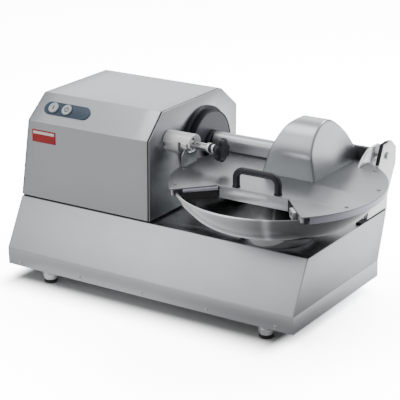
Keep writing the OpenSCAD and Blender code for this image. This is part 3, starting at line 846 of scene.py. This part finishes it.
class CUTTER_OT_controls(CutterOperator):
    """Makes the control plate, its push buttons with their marks, and the plain badge."""

    bl_idname = "cutter.controls"
    bl_label = "Controls"

    def execute(self, context):
        size = context.scene.cutter_controls
        soften("control_plate", "slate", 0.8 * MM)
        outwards = -Vector(JOINTS["start_press"]["axis"]).normalized()
        for name in ("start", "stop"):
            self.button(size, name, outwards)
        soften("badge_plate", "red", 0.5 * MM)
        self.stripe(size, context.scene.cutter_head)
        soften("control_box", "enamel", 1 * MM)
        soften("cable_gland", "black", 0.8 * MM)
        return {"FINISHED"}

    def button(self, size, name, outwards):
        node = f"{name}_button"
        radius = half_size(node).x
        height, chamfer = size.height, 1.3 * MM
        root = middle(node) - outwards * size.straight / 2
        inside, top = radius - size.rim, height - size.dish
        profile = rounded([
            (0, 0), (radius - chamfer, 0), (radius, chamfer), (radius, height - 0.6 * MM),
            (radius - 1 * MM, height), (inside, height), (inside - 3 * MM, height - size.dish * 0.75),
            (0, top),
        ], 0.5 * MM)
        add_piece(f"{name}_push", lathe(profile, root, outwards, 64), name, "cream_plastic", "cream", [node])
        sunk, thick = 0.1 * MM, 0.5 * MM
        if name == "start":
            side = Vector((1, 0, 0))
            up = outwards.cross(side)
            face = root + outwards * (top - sunk)
            corners = [face + side * 1.4 * MM * s + up * 6 * MM * u for s, u in oblong((-1, 1), (-1, 1))]
            made = solid_loft([corners, [corner + outwards * thick for corner in corners]])
        else:
            ring = oblong((4 * MM, 6.4 * MM), (top - sunk, top - sunk + thick))
            made = lathe(ring, root, outwards, 48)
        add_piece(f"{name}_mark", made, name, "black_plastic", "ink")

    @staticmethod
    def stripe(size, head):
        """The badge's plain stripe, on the lean of the head's front wall."""
        lo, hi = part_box("badge_plate")
        tilt = head.lean_back / head.eave
        foot = size.stripe_foot
        base = Vector((lo.x + size.stripe_in, lo.y + foot * tilt + 0.05 * MM, lo.z + foot))
        run = Vector((hi.x - lo.x - 2 * size.stripe_in, 0, 0))
        rise = Vector((0, tilt, 1)).normalized() * size.stripe_width
        corners = [base + run * a + rise * b for a, b in oblong((0, 1), (0, 1))]
        made = solid_loft([corners, [corner + Vector((0, 0.6 * MM, 0)) for corner in corners]])
        add_piece("badge_stripe", made, "machine", "red_plate", "white")


class CUTTER_OT_drives(CutterOperator):
    """Gives the motors, pulleys, belts and bearings inside their finishes."""

    bl_idname = "cutter.drives"
    bl_label = "Drives"

    def execute(self, context):
        soften_all([
            ("knife_motor", "enamel", 2 * MM), ("motor_cradle", "enamel", 1 * MM),
            ("motor_pulley", "cast", 0.4 * MM), ("knife_belt", "rubber", 0.5 * MM),
            ("shaft_pulley", "cast", 0.4 * MM), ("shaft_bearings", "bright", 0.5 * MM),
            ("bearing_housing", "enamel", 1 * MM), ("bowl_spindle", "bright", 0.5 * MM),
            ("spindle_bearings", "bright", 0.5 * MM), ("bowl_pulley", "cast", 0.4 * MM),
            ("bowl_belt", "rubber", 0.5 * MM), ("bowl_motor", "enamel", 2 * MM),
            ("bowl_motor_pulley", "cast", 0.4 * MM)])
        return {"FINISHED"}


class CUTTER_OT_knives(CutterOperator):
    """Makes the knife shaft with its knives, and the ribbed black cover where it leaves the head."""

    bl_idname = "cutter.knives"
    bl_label = "Knives and shaft"

    def execute(self, context):
        soften_all([
            ("knife_shaft", "turned", 1 * MM), ("knife_hub", "bright", 1 * MM),
            ("knives", "bright", 0.5 * MM), ("hub_nut", "black", 1.5 * MM)])
        self.drum(context.scene.cutter_drum)
        return {"FINISHED"}

    @staticmethod
    def drum(size):
        lo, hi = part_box("shaft_drum")
        axis = Vector((lo.x, *middle("shaft_drum")[1:]))
        back = half_size("shaft_drum").z
        radius, depth, opening = back - size.step, hi.x - lo.x, size.opening
        hollow = radius - size.groove
        side = [(opening, 0), (back - 3 * MM, 0), (back, 3 * MM), (back, 10 * MM), (back - 2 * MM, 12 * MM)]
        for k in range(3):
            rib = (13 + 3.5 * k) * MM
            side += [
                (hollow, rib), (hollow, rib + 0.9 * MM), (radius, rib + 1.5 * MM), (radius, rib + 2.8 * MM)]
        face = depth - 1.2 * MM
        side += [
            (hollow, 23.4 * MM), (hollow, 24 * MM), (radius, 24.6 * MM), (radius, depth),
            (radius - 2.6 * MM, depth), (radius - 3.4 * MM, face), (opening, face)]
        disc = [
            (opening + 0.2 * MM, face - 0.1 * MM), (radius - 3.6 * MM, face - 0.1 * MM),
            (radius - 4.2 * MM, face + 0.8 * MM), (opening + 0.2 * MM, face + 0.8 * MM)]
        end, end_depth = half_size("shaft_cap").z, 2 * half_size("shaft_cap").x
        collar = [
            (size.bore, 0), (opening, 0), (opening, depth), (end, depth), (end, end_depth),
            (end - 8 * MM, end_depth), (size.bore, end_depth - 3 * MM)]
        for name, profile, steps, finish, node in (
            ("shaft_ribbed_cover", rounded(side, 0.8 * MM, 3), 128, "black", ["shaft_drum"]),
            ("shaft_cover_face", disc, 128, "face", []),
            ("shaft_black_collar", rounded(collar, 2.5 * MM, 4), 96, "black", ["shaft_cap"]),
        ):
            add_piece(name, lathe(profile, axis, "x", steps), "machine", "black_plastic", finish, node)


class CUTTER_OT_bowl(CutterOperator):
    """Makes the spun trough bowl and the ring that it stands on."""

    bl_idname = "cutter.bowl"
    bl_label = "Bowl"

    def execute(self, context):
        size = context.scene.cutter_bowl
        lo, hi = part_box("bowl")
        rim = half_size("bowl").x
        centre = (*middle("bowl")[:2], 0)
        trough = (size.ring, middle("knife_shaft").z)
        flare = (rim - 6 * MM, hi.z - 17 * MM)
        bead = (rim - size.bead, hi.z - size.bead)
        hub = [(50 * MM, size.hub_top - 5 * MM), (40 * MM, size.hub_top - 1.5 * MM), (24 * MM, size.hub_top),
               (0, size.hub_top)]
        profile = [
            (0, lo.z), (size.foot, lo.z), *arc(trough, size.trough + size.wall, 228, 318, 36),
            (flare[0] + size.wall, flare[1]), *arc(bead, size.bead, -30, 200, 14), flare,
            *arc(trough, size.trough, 318, 195, 40), *rounded(hub, 8 * MM, 4, closed=False)]
        add_piece("bowl_spun", lathe(profile, centre, "z", size.steps, closed=False), "bowl_drive",
                  "polished_steel", "bowl", ["bowl"], sharp=50)
        soften("bowl_stand", "spun", 1.5 * MM, steps=3)
        return {"FINISHED"}


class CUTTER_OT_lid(CutterOperator):
    """Makes the lid with its feeding opening, wear strip, guides and screws."""

    bl_idname = "cutter.lid"
    bl_label = "Lid"

    def execute(self, context):
        mouth = context.scene.cutter_mouth
        top = low("lid_plate").z + mouth.rim
        soften("lid_plate", "lid", 0.8 * MM, steps=3)
        soften("lid_seal", "strip", 0.4 * MM)
        self.guides(mouth, top)
        self.hem(mouth, top)
        self.end_fittings(mouth, top)
        soften("lid_screws", "screw", 0.5 * MM)
        return {"FINISHED"}

    @staticmethod
    def end(mouth, side):
        """An end's rear corner with the ways along it and inwards; side is 1 at the right, -1 at the left."""
        handle = middle("lid_handle")
        reach = mouth.right if side > 0 else mouth.left
        corner = Vector((handle.x + side * reach, handle.y - mouth.back, 0))
        along = Vector((side * mouth.splay, -1.0, 0)).normalized()
        return corner, along, Vector((along.y, -along.x, 0)) * side

    def hem(self, mouth, top):
        """Round hem along the left edge of the feeding opening."""
        corner, along, _ = self.end(mouth, -1)
        start = corner + Vector((-1.5 * MM, -3 * MM, top - 4 * MM))
        radius, reach = mouth.hem, mouth.hem_run / -along.y
        profile = rounded([(0, 0), (radius, 0), (radius, reach), (0, reach)], 1.2 * MM, 4, closed=False)
        add_piece("mouth_left_hem", lathe(profile, start, along, 32), "lid", "bright_steel", "strip")

    def end_fittings(self, mouth, top):
        """Dark pads on both ends of the feeding opening, and a bright drilled block at the right whose hole is a
        flat black disc of painted shade.
        """
        rubber, bright = ("black_rubber", "rubber"), ("bright_steel", "cast")
        for name, side, along_span, across_span, drop, look in (
            ("mouth_left_pad", -1, (2, 90), (-1.0, 1.8), (27, 8.5), rubber),
            ("mouth_right_pad", 1, (1.5, 44), (0.2, 1.8), (27, 0), rubber),
            ("mouth_right_block", 1, (50, 84), (0.2, 9), (20, 0), bright),
        ):
            spans = [[part * MM for part in span] for span in (along_span, across_span)]
            heights = [top - part * MM for part in drop]
            pad = upright_block(*self.end(mouth, side), spans, heights, 0.7 * MM, 0.5 * MM)
            add_piece(name, pad, "lid", *look)
        # The drilled hole is painted: a flat black disc stands for its shade
        corner, along, inward = self.end(mouth, 1)
        hole = corner + along * 67 * MM + inward * 8.8 * MM + Vector((0, 0, top - 9 * MM))
        disc = screw_profile(4 * MM, 0.6 * MM, 0.2 * MM)
        add_piece("mouth_block_painted_hole", lathe(disc, hole, inward, 32), "lid", "black_plastic", "ink")

    @staticmethod
    def guides(mouth, top):
        """A cap on the bowl's rim and a block beside it at both ends of the opening, one of them dark."""
        rim = half_size("bowl").x
        centre = Vector((*middle("bowl")[:2], 0))
        outer, inner = rim + 3 * MM, rim - 19 * MM
        dark, light = ("black_plastic", "black"), ("bright_steel", "cast")
        for name, turn, side, cap, beside in (
            ("left", mouth.left_guide, 1, light, dark), ("right", mouth.right_guide, -1, dark, light),
        ):
            along = Vector((math.cos(turn), math.sin(turn), 0))
            across = Vector((-along.y, along.x, 0)) * side
            for kind, way, spans, drop, look, nodes in (
                ("cap", across, ((outer, outer + 5 * MM), (-4 * MM, 5 * MM)), 16 * MM, cap, []),
                ("block", -across, ((inner, outer), (-13 * MM, -4 * MM)), 14 * MM, beside,
                 ["rim_guides"] if side > 0 else []),
            ):
                made = upright_block(centre, along, way, spans, (top - drop, top), 1.2 * MM, 0.8 * MM)
                add_piece(f"rim_{kind}_{name}", made, "lid", *look, nodes)


class CUTTER_OT_hood(CutterOperator):
    """Makes the hood over the knives and the arched cover over the shaft."""

    bl_idname = "cutter.hood"
    bl_label = "Hood"

    def execute(self, context):
        hood = context.scene.cutter_hood
        self.shell(hood)
        self.tunnel(hood)
        return {"FINISHED"}

    @staticmethod
    def left_end(hood, z):
        """Place along X of the hood's leaning left end at a height."""
        lo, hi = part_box("knife_hood")
        centre = (lo.x + hood.shoulder_in, hi.z - hood.shoulder)
        turn = math.pi / 2 + hood.lean
        joint = centre[1] + hood.shoulder * math.sin(turn)
        joint_x = centre[0] + hood.shoulder * math.cos(turn)
        if z < joint:
            return lo.x + (joint_x - lo.x) * (z - lo.z) / (joint - lo.z)
        rise = min(1.0, (z - centre[1]) / hood.shoulder)
        return centre[0] - hood.shoulder * math.sqrt(max(0.0, 1 - rise * rise))

    @staticmethod
    def across(hood, z, inset):
        """Front and rear places along Y of the hood's section at a height, with the section set in."""
        lo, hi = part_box("knife_hood")
        radius = hood.crown - inset
        centre = Vector((lo.y + hood.crown, hi.z - hood.crown))
        joint = centre.y + radius * math.sin(hood.crown_start)
        if z < joint:
            start = lo.y + hood.foot_back + inset
            stop = centre.x + radius * math.cos(hood.crown_start)
            front = start + (stop - start) * (z - lo.z) / (joint - lo.z)
        else:
            front = centre.x - math.sqrt(max(0.0, radius ** 2 - (z - centre.y) ** 2))
        way = Vector((math.cos(hood.crown_end), math.sin(hood.crown_end)))
        first = centre + way * hood.crown
        span = Vector((hi.y, lo.z + hood.slope_foot)) - first
        slope = -span.length_squared / (2 * span.dot(way))
        slope_centre = first - way * slope
        if z > centre.y + radius * way.y:
            rear = centre.x + math.sqrt(max(0.0, radius ** 2 - (z - centre.y) ** 2))
        else:
            reach = slope - inset
            rear = slope_centre.x + math.sqrt(max(0.0, reach ** 2 - (z - slope_centre.y) ** 2))
        return front, min(rear, hi.y - inset)

    def shell(self, hood):
        lo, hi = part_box("knife_hood")
        steps, edge_steps, columns = 40, 5, 8
        heights = [math.sin(math.pi / 2 * k / steps) for k in range(steps + 1)]

        def ring(inset, right, share):
            """One loop of points round the section; share 0 is at the leaning left end and 1 at the right."""
            front_side, rear_side = [], []
            for height in heights:
                z = lo.z + (hi.z - inset - lo.z) * height
                front, rear = self.across(hood, z, inset)
                left = self.left_end(hood, z) + right
                x = left + (hi.x - right - left) * share
                front_side.append((x, front, z))
                rear_side.append((x, rear, z))
            return front_side + rear_side[::-1]

        turns = [math.pi / 2 * k / edge_steps for k in range(edge_steps + 1)]
        ends = [(hood.edge * (1 - math.sin(turn)), hood.edge * (1 - math.cos(turn))) for turn in turns]
        sections = [ring(inset, right, 0.0) for inset, right in ends]
        sections += [ring(0.0, hood.edge, k / columns) for k in range(1, columns)]
        sections += [ring(inset, right, 1.0) for inset, right in reversed(ends)]
        made, rings = loft(sections, closed_across=False)
        close_band(made, (rings[0], rings[-1]))
        cutter = self.bore_block()
        add_piece("knife_hood_shell", tidy(made), "lid", "satin_steel", "hood", ["knife_hood"], sharp=48,
                  modifiers=[thickened(SHEET), taken_away(cutter)])
        bpy.data.objects.remove(cutter)

    @staticmethod
    def arch(inset=0.0, flange=0.0):
        """The shaft cover's section: two walls and a round top, with feet turned out if flange is set."""
        lo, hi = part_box("shaft_tunnel")
        half = half_size("shaft_tunnel").y - inset
        y, top = middle("shaft_tunnel").y, hi.z - inset
        curve = arc((y, top - half), half, 180, 0, 20)
        if not flange:
            return [(y - half, lo.z - inset)] + curve + [(y + half, lo.z - inset)]
        foot = lo.z + 1.0 * MM
        wall = [(y - half - flange, foot), (y - half, foot), (y - half, top - half)]
        left = rounded(wall, 3 * MM, closed=False)
        right = [(2 * y - p, z) for p, z in reversed(left)]
        return left[:-1] + curve + right[1:]

    def bore_block(self):
        """The block that opens the hood for the shaft: the cover's inside, and more below and outside."""
        lo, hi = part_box("shaft_tunnel")
        first, *curve, last = self.arch(SHEET)
        section = [(first[0], first[1] - SPARE), *curve, (last[0], last[1] - SPARE)]
        made = solid_loft([[(x, *point) for point in section] for x in (lo.x, hi.x + 2 * SPARE)])
        bmesh.ops.recalc_face_normals(made, faces=made.faces)
        return link_mesh("bore_cutter", made)

    def tunnel(self, hood):
        lo = low("shaft_tunnel")
        section = self.arch(flange=1.2 * MM)
        columns = 10
        ends = [self.left_end(hood, z) + 0.5 * MM for _, z in section]
        rings = [[(lo.x + (end - lo.x) * k / columns, y, z) for end, (y, z) in zip(ends, section)]
                 for k in range(columns + 1)]
        made, _ = loft(rings, closed_across=False)
        add_piece("shaft_arched_cover", made, "lid", "satin_steel", "hood", ["shaft_tunnel"], sharp=50,
                  modifiers=[thickened(1.0 * MM)])
        front = section[0][0]
        outline = oblong((lo.x + 1 * MM, min(ends) - 1 * MM), (front - 1.6 * MM, front))
        seal = plate(outline, lo.z, lo.z + 2.6 * MM, 0.4 * MM, axis="z")
        add_piece("shaft_cover_seal", seal, "lid", "black_rubber", "seal")


class CUTTER_OT_handle(CutterOperator):
    """Makes the bent black handle on the lid."""

    bl_idname = "cutter.handle"
    bl_label = "Lid handle"

    def execute(self, context):
        size = context.scene.cutter_handle
        lo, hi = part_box("lid_handle")
        thick, bend = size.bar, size.bend
        y = middle("lid_handle").y
        left, right, top = lo.x + thick, hi.x - thick, hi.z - thick
        path = [(left, lo.z), (left, lo.z + 1 * MM)]
        path += arc((left + bend, top - bend), bend, 180, 90, 12)
        path += arc((right - bend, top - bend), bend, 90, 0, 12)
        path += [(right, lo.z + 1 * MM), (right, lo.z)]
        side, steps = Vector((0, 1, 0)), 32
        sections = []
        for i, (x, z) in enumerate(path):
            before, after = neighbours(path, i)
            out = side.cross(Vector((after[0] - before[0], 0, after[1] - before[1])).normalized())
            turns = [2 * math.pi * k / steps for k in range(steps)]
            sections.append([Vector((x, y, z)) + self.grip(side, out, thick, turn) for turn in turns])
        add_piece("lid_handle_grip", solid_loft(sections), "lid", "black_plastic", "black", ["lid_handle"])
        self.washers((left, right), y, lo.z, thick)
        return {"FINISHED"}

    @staticmethod
    def grip(side, out, thick, turn):
        """A point of the bar's section: a circle with slightly flattened flanks."""
        flat = [math.copysign(abs(v) ** 0.86, v) * thick * 0.97 for v in (math.cos(turn), math.sin(turn))]
        return side * flat[0] + out * flat[1]

    @staticmethod
    def washers(places, y, z, thick):
        profile = [(0, 0), (thick + 1.6 * MM, 0), (thick + 1.4 * MM, 1.6 * MM), (0, 1.6 * MM)]
        for name, x in zip(("left", "right"), places):
            made = lathe(rounded(profile, 0.5 * MM, 3), (x, y, z), "z", 48)
            add_piece(f"handle_washer_{name}", made, "lid", "black_plastic", "rubber")


class CUTTER_OT_hinge(CutterOperator):
    """Makes the lid's ears, beam and pin, and the bracket plates that carry them."""

    bl_idname = "cutter.hinge"
    bl_label = "Hinge"

    def execute(self, context):
        soften("hinge_ears", "plate", 0.9 * MM, steps=3)
        # The beam's dark enamel is painted shade: the beam sits in shadow at the lid's rear
        soften("hinge_beam", "enamel", 0.8 * MM)
        soften("hinge_pin", "bright", 0.8 * MM)
        soften("hinge_brackets", "plate", 1.2 * MM, steps=3)
        # The black gasket strip under the bracket's foot stands for the shadow line there, as painted shade
        soften("bracket_gasket", "rubber", 0.4 * MM)
        self.trim(context.scene.cutter_hinge)
        return {"FINISHED"}

    @staticmethod
    def trim(size):
        """Black edging on the leading edge of the right bracket, and a bead along its foot: dark strips that paint
        in the shadow gaps there.
        """
        lo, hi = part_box("hinge_brackets")
        pin = middle("hinge_pin")
        path = [(pin.y + y * MM, pin.z + z * MM) for y, z in ((-42.5, -14), (-39, -9), (-19, 33), (8, 34))]
        path = rounded(path, size.bend, 5, closed=False)
        far = hi.x - 0.4 * MM
        near = far - size.trim_width
        sections = []
        for i, (y, z) in enumerate(path):
            before, after = neighbours(path, i)
            out = Vector((before[1] - after[1], after[0] - before[0])).normalized() * size.trim
            top = (y + out.x, z + out.y)
            sections.append([(near, y, z), (far, y, z), (far, *top), (near, *top)])
        add_piece("bracket_painted_shadow_edging", solid_loft(sections), "machine", "black_rubber", "rubber")
        start = high("bracket_gasket").y
        outline = oblong((start, start + size.bead_run), (lo.z, lo.z + size.bead))
        bead = plate(outline, hi.x - 0.2 * MM, hi.x + 0.6 * MM, 0.2 * MM)
        add_piece("bracket_foot_painted_shadow_bead", bead, "machine", "black_rubber", "rubber")


class CUTTER_OT_latch(CutterOperator):
    """Makes the lid latch: bracket, cast barrel, stepped collar, rod and lobed knob."""

    bl_idname = "cutter.latch"
    bl_label = "Latch"

    def execute(self, context):
        size = context.scene.cutter_latch
        soften("latch_bracket", "screw", 0.5 * MM)
        self.barrel(size)
        self.collar(size)
        soften("latch_rod", "bright", 0.6 * MM)
        self.knob(context.scene.cutter_handle)
        return {"FINISHED"}

    @staticmethod
    def cutter(name, low_corner, high_corner):
        """A block that a modifier takes away from a piece."""
        made = bmesh.new()
        bmesh.ops.create_cube(made, size=1.0)
        bmesh.ops.scale(made, vec=Vector(high_corner) - Vector(low_corner), verts=made.verts)
        bmesh.ops.translate(made, vec=(Vector(high_corner) + Vector(low_corner)) / 2, verts=made.verts)
        return link_mesh(name, made)

    def barrel(self, size):
        """The cast barrel, cut away at its lower right so that the collar shows."""
        lo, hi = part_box("latch_barrel")
        axis = Vector((lo.x, *middle("latch_rod")[1:]))
        radius, depth = half_size("latch_barrel").z, hi.x - lo.x
        window = lo.x + size.window
        profile = rounded(oblong((size.bore, radius), (0, depth)), 2.2 * MM, 5)
        blocks = [
            self.cutter("notch", (lo.x - SPARE, lo.y - SPARE, axis.z - 7 * MM),
                        (lo.x + size.notch, lo.y + 9 * MM, axis.z + 4 * MM)),
            self.cutter("window", (window, lo.y - SPARE, lo.z - SPARE),
                        (hi.x + SPARE, axis.y + 6 * MM, axis.z + 9 * MM)),
            self.cutter("gap", (window, axis.y - 5 * MM, lo.z - SPARE),
                        (hi.x + SPARE, hi.y + SPARE, axis.z - 10 * MM)),
        ]
        add_piece("latch_cast_barrel", lathe(profile, axis, "x", 128), "lid", "white_steel", "cast",
                  ["latch_barrel"], modifiers=[*(taken_away(block) for block in blocks), softened(0.8 * MM)])
        # A flat black disc on the barrel's end: a screw head whose dark recess is painted shade
        spot = axis + Vector((depth - 0.2 * MM, -8 * MM, 17 * MM))
        head = screw_profile(3.6 * MM, 1.2 * MM, 0.4 * MM)
        add_piece("barrel_screw_painted_recess", lathe(head, spot, "x", 32), "lid", "black_plastic", "ink")
        for block in blocks:
            bpy.data.objects.remove(block)

    @staticmethod
    def collar(size):
        """The turned collar with its stepped end."""
        axis = Vector((low("latch_collar").x - 4 * MM, *middle("latch_rod")[1:]))
        radius = half_size("latch_collar").z
        neck, end = radius - 4 * MM, size.collar
        profile = [
            (size.collar_bore, 0), (radius, 0), (radius, end - 9 * MM), (neck, end - 7 * MM),
            (neck, end - 1 * MM), (size.collar_bore, end)]
        add_piece("latch_turned_collar", lathe(rounded(profile, 0.9 * MM, 3), axis, "x", 96), "lid",
                  "bright_steel", "bright", ["latch_collar"])

    @staticmethod
    def knob(size):
        lo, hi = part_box("latch_knob")
        rod = middle("latch_rod")
        radius = half_size("latch_knob").z + 0.4 * MM
        thick, flat = size.knob, size.flat
        start = hi.x - thick
        neck = lo.x - start
        profile = rounded([
            (0, neck), (11 * MM, neck), (12 * MM, neck + 1.5 * MM), (12 * MM, neck + 5 * MM),
            (9.5 * MM, neck + 7 * MM), (9.5 * MM, neck + 10 * MM), (12 * MM, -5 * MM), (flat, 0),
            (radius - 3 * MM, 0.5 * MM), (radius, 4 * MM), (radius, thick - 6 * MM),
            (radius - 3.5 * MM, thick - 2 * MM), (radius - 10 * MM, thick), (0, thick),
        ], 3 * MM, 4, closed=False)
        steps = 140
        sections = []
        for i in range(steps):
            turn = 2 * math.pi * i / steps
            hollow = size.lobe_depth * (0.5 + 0.5 * math.cos(size.lobes * turn)) ** 2
            ring = []
            for r, h in profile:
                reach = r - hollow * max(0.0, (r - flat) / (radius - flat))
                ring.append((start + h, rod.y + reach * math.sin(turn), rod.z + reach * math.cos(turn)))
            sections.append(ring)
        made, _ = loft(sections, closed_along=True, closed_across=False)
        add_piece("latch_lobed_knob", tidy(made), "latch", "black_plastic", "black", ["latch_knob"])


class CUTTER_OT_studio(CutterOperator):
    """Makes the floor, the soft lights and the camera."""

    bl_idname = "cutter.studio"
    bl_label = "Studio"

    def execute(self, context):
        studio = context.scene.cutter_studio
        self.floor(studio)
        context.scene.world = self.dome(studio)
        for lamp in LAMPS:
            self.softbox(*lamp)
        context.scene.camera = self.camera(studio)
        return {"FINISHED"}

    def floor(self, studio):
        made = bmesh.new()
        bmesh.ops.create_grid(made, x_segments=4, y_segments=4, size=12)
        floor = link_mesh("studio_floor", made)
        floor.data.materials.append(self.paper(studio))

    @staticmethod
    def paper(studio):
        """White paper to the eye, with a painted contact shadow round the machine's footprint; grey and uneven in
        reflections, as a lit room is, and painted brighter near the base.
        """
        net = Net("studio_paper")
        place = net.place()
        parts = [net.node("ShaderNodeSeparateXYZ", None, {0: place}, out=k) for k in "XY"]
        size, centre = half_size("base_tray"), middle("base_tray")
        # Painted contact shadow: a mask over the base tray's footprint, shifted to the front, darkens the paper as
        # seen
        shifts = (centre.x - 10 * MM, centre.y - 35 * MM)
        painted_footprint_mask = 1.0
        for part, shift, half, reach in zip(parts, shifts, size, (10 * MM, 75 * MM)):
            off = part.maths("ABSOLUTE", part - shift) - half
            span = {"Value": off, "From Min": -50 * MM, "From Max": reach, "To Min": 1.0, "To Max": 0.0}
            edge = net.node("ShaderNodeMapRange", {"interpolation_type": "SMOOTHSTEP"}, span, out="Result")
            painted_footprint_mask = edge * painted_footprint_mask
        seen = (1.0 - painted_footprint_mask * studio.shade) * studio.paper + net.noise(place, 3.0) * 0.02
        towards = net.vector("NORMALIZE", {0: place})
        # Painted light: the floor in reflections is made brighter near the base
        glow = net.glows(towards, studio.ground, GROUND_GLOWS) * (1.0 + painted_footprint_mask * 0.9)
        eye = net.node("ShaderNodeLightPath", out="Is Camera Ray")
        tone = eye * seen + (1.0 - eye) * glow
        grey = net.node("ShaderNodeCombineXYZ", None, {k: tone for k in "XYZ"})
        paper = net.node("ShaderNodeBsdfDiffuse", None, {"Color": grey})
        net.node("ShaderNodeOutputMaterial", None, {"Surface": paper})
        return net.material

    @staticmethod
    def dome(studio):
        net = Net("studio_dome", "worlds")
        direction = net.node("ShaderNodeTexCoord", out="Generated")
        light = net.glows(direction, studio.dome, SKY_GLOWS)
        shell = net.node("ShaderNodeBackground", None, {"Strength": light})
        net.node("ShaderNodeOutputWorld", None, {"Surface": shell})
        return net.material

    @staticmethod
    def softbox(name, place, aim, size, power):
        light = bpy.data.lights.new(name, "AREA")
        light.shape = "RECTANGLE"
        light.size, light.size_y = size
        light.energy = power
        lamp = link_object(name, light)
        lamp.location = place
        lamp.rotation_euler = (Vector(aim) - Vector(place)).to_track_quat("-Z", "Y").to_euler()

    @staticmethod
    def camera(studio):
        a, e, r = studio.azimuth, studio.elevation, studio.roll
        back = Vector((math.sin(a) * math.cos(e), -math.cos(a) * math.cos(e), math.sin(e)))
        right = Vector((math.cos(a), math.sin(a), 0))
        up = back.cross(right)
        tilted_right = right * math.cos(r) + up * math.sin(r)
        tilted_up = up * math.cos(r) - right * math.sin(r)
        lens = bpy.data.cameras.new("studio_camera")
        lens.lens = studio.lens
        lens.sensor_width = 36
        camera = link_object("studio_camera", lens)
        turn = Matrix((tilted_right, tilted_up, back)).transposed().to_4x4()
        camera.matrix_world = Matrix.Translation(Vector(studio.aim) + back * studio.distance) @ turn
        return camera


MAKERS = (
    CUTTER_OT_finishes, CUTTER_OT_base, CUTTER_OT_head, CUTTER_OT_controls, CUTTER_OT_drives,
    CUTTER_OT_knives, CUTTER_OT_bowl, CUTTER_OT_lid, CUTTER_OT_hood, CUTTER_OT_handle, CUTTER_OT_hinge,
    CUTTER_OT_latch, CUTTER_OT_studio,
)
SETTINGS = {
    "cutter_sheet": SheetSettings, "cutter_foot": FootSettings, "cutter_head": HeadSettings,
    "cutter_controls": ControlSettings, "cutter_drum": DrumSettings, "cutter_bowl": BowlSettings,
    "cutter_mouth": MouthSettings, "cutter_hood": HoodSettings, "cutter_handle": HandleSettings,
    "cutter_hinge": HingeSettings, "cutter_latch": LatchSettings, "cutter_finish": FinishSettings,
    "cutter_studio": StudioSettings,
}


class CUTTER_PT_panel(bpy.types.Panel):
    """Lists the makers and their settings."""

    bl_idname = "CUTTER_PT_panel"
    bl_label = "Bowl Cutter"
    bl_space_type = "VIEW_3D"
    bl_region_type = "UI"
    bl_category = "Bowl Cutter"

    def draw(self, context):
        for maker in MAKERS:
            self.layout.operator(maker.bl_idname)
        for name, group in SETTINGS.items():
            box = self.layout.box()
            for key in group.__annotations__:
                box.prop(getattr(context.scene, name), key)


def register():
    for made in (*SETTINGS.values(), *MAKERS, CUTTER_PT_panel):
        bpy.utils.register_class(made)
    for name, group in SETTINGS.items():
        setattr(bpy.types.Scene, name, PointerProperty(type=group))


def unregister():
    for name in SETTINGS:
        delattr(bpy.types.Scene, name)
    for made in reversed((*SETTINGS.values(), *MAKERS, CUTTER_PT_panel)):
        bpy.utils.unregister_class(made)


def main():
    register()
    for maker in MAKERS:
        group, name = maker.bl_idname.split(".")
        getattr(getattr(bpy.ops, group), name)()


if __name__ == "__main__":
    main()
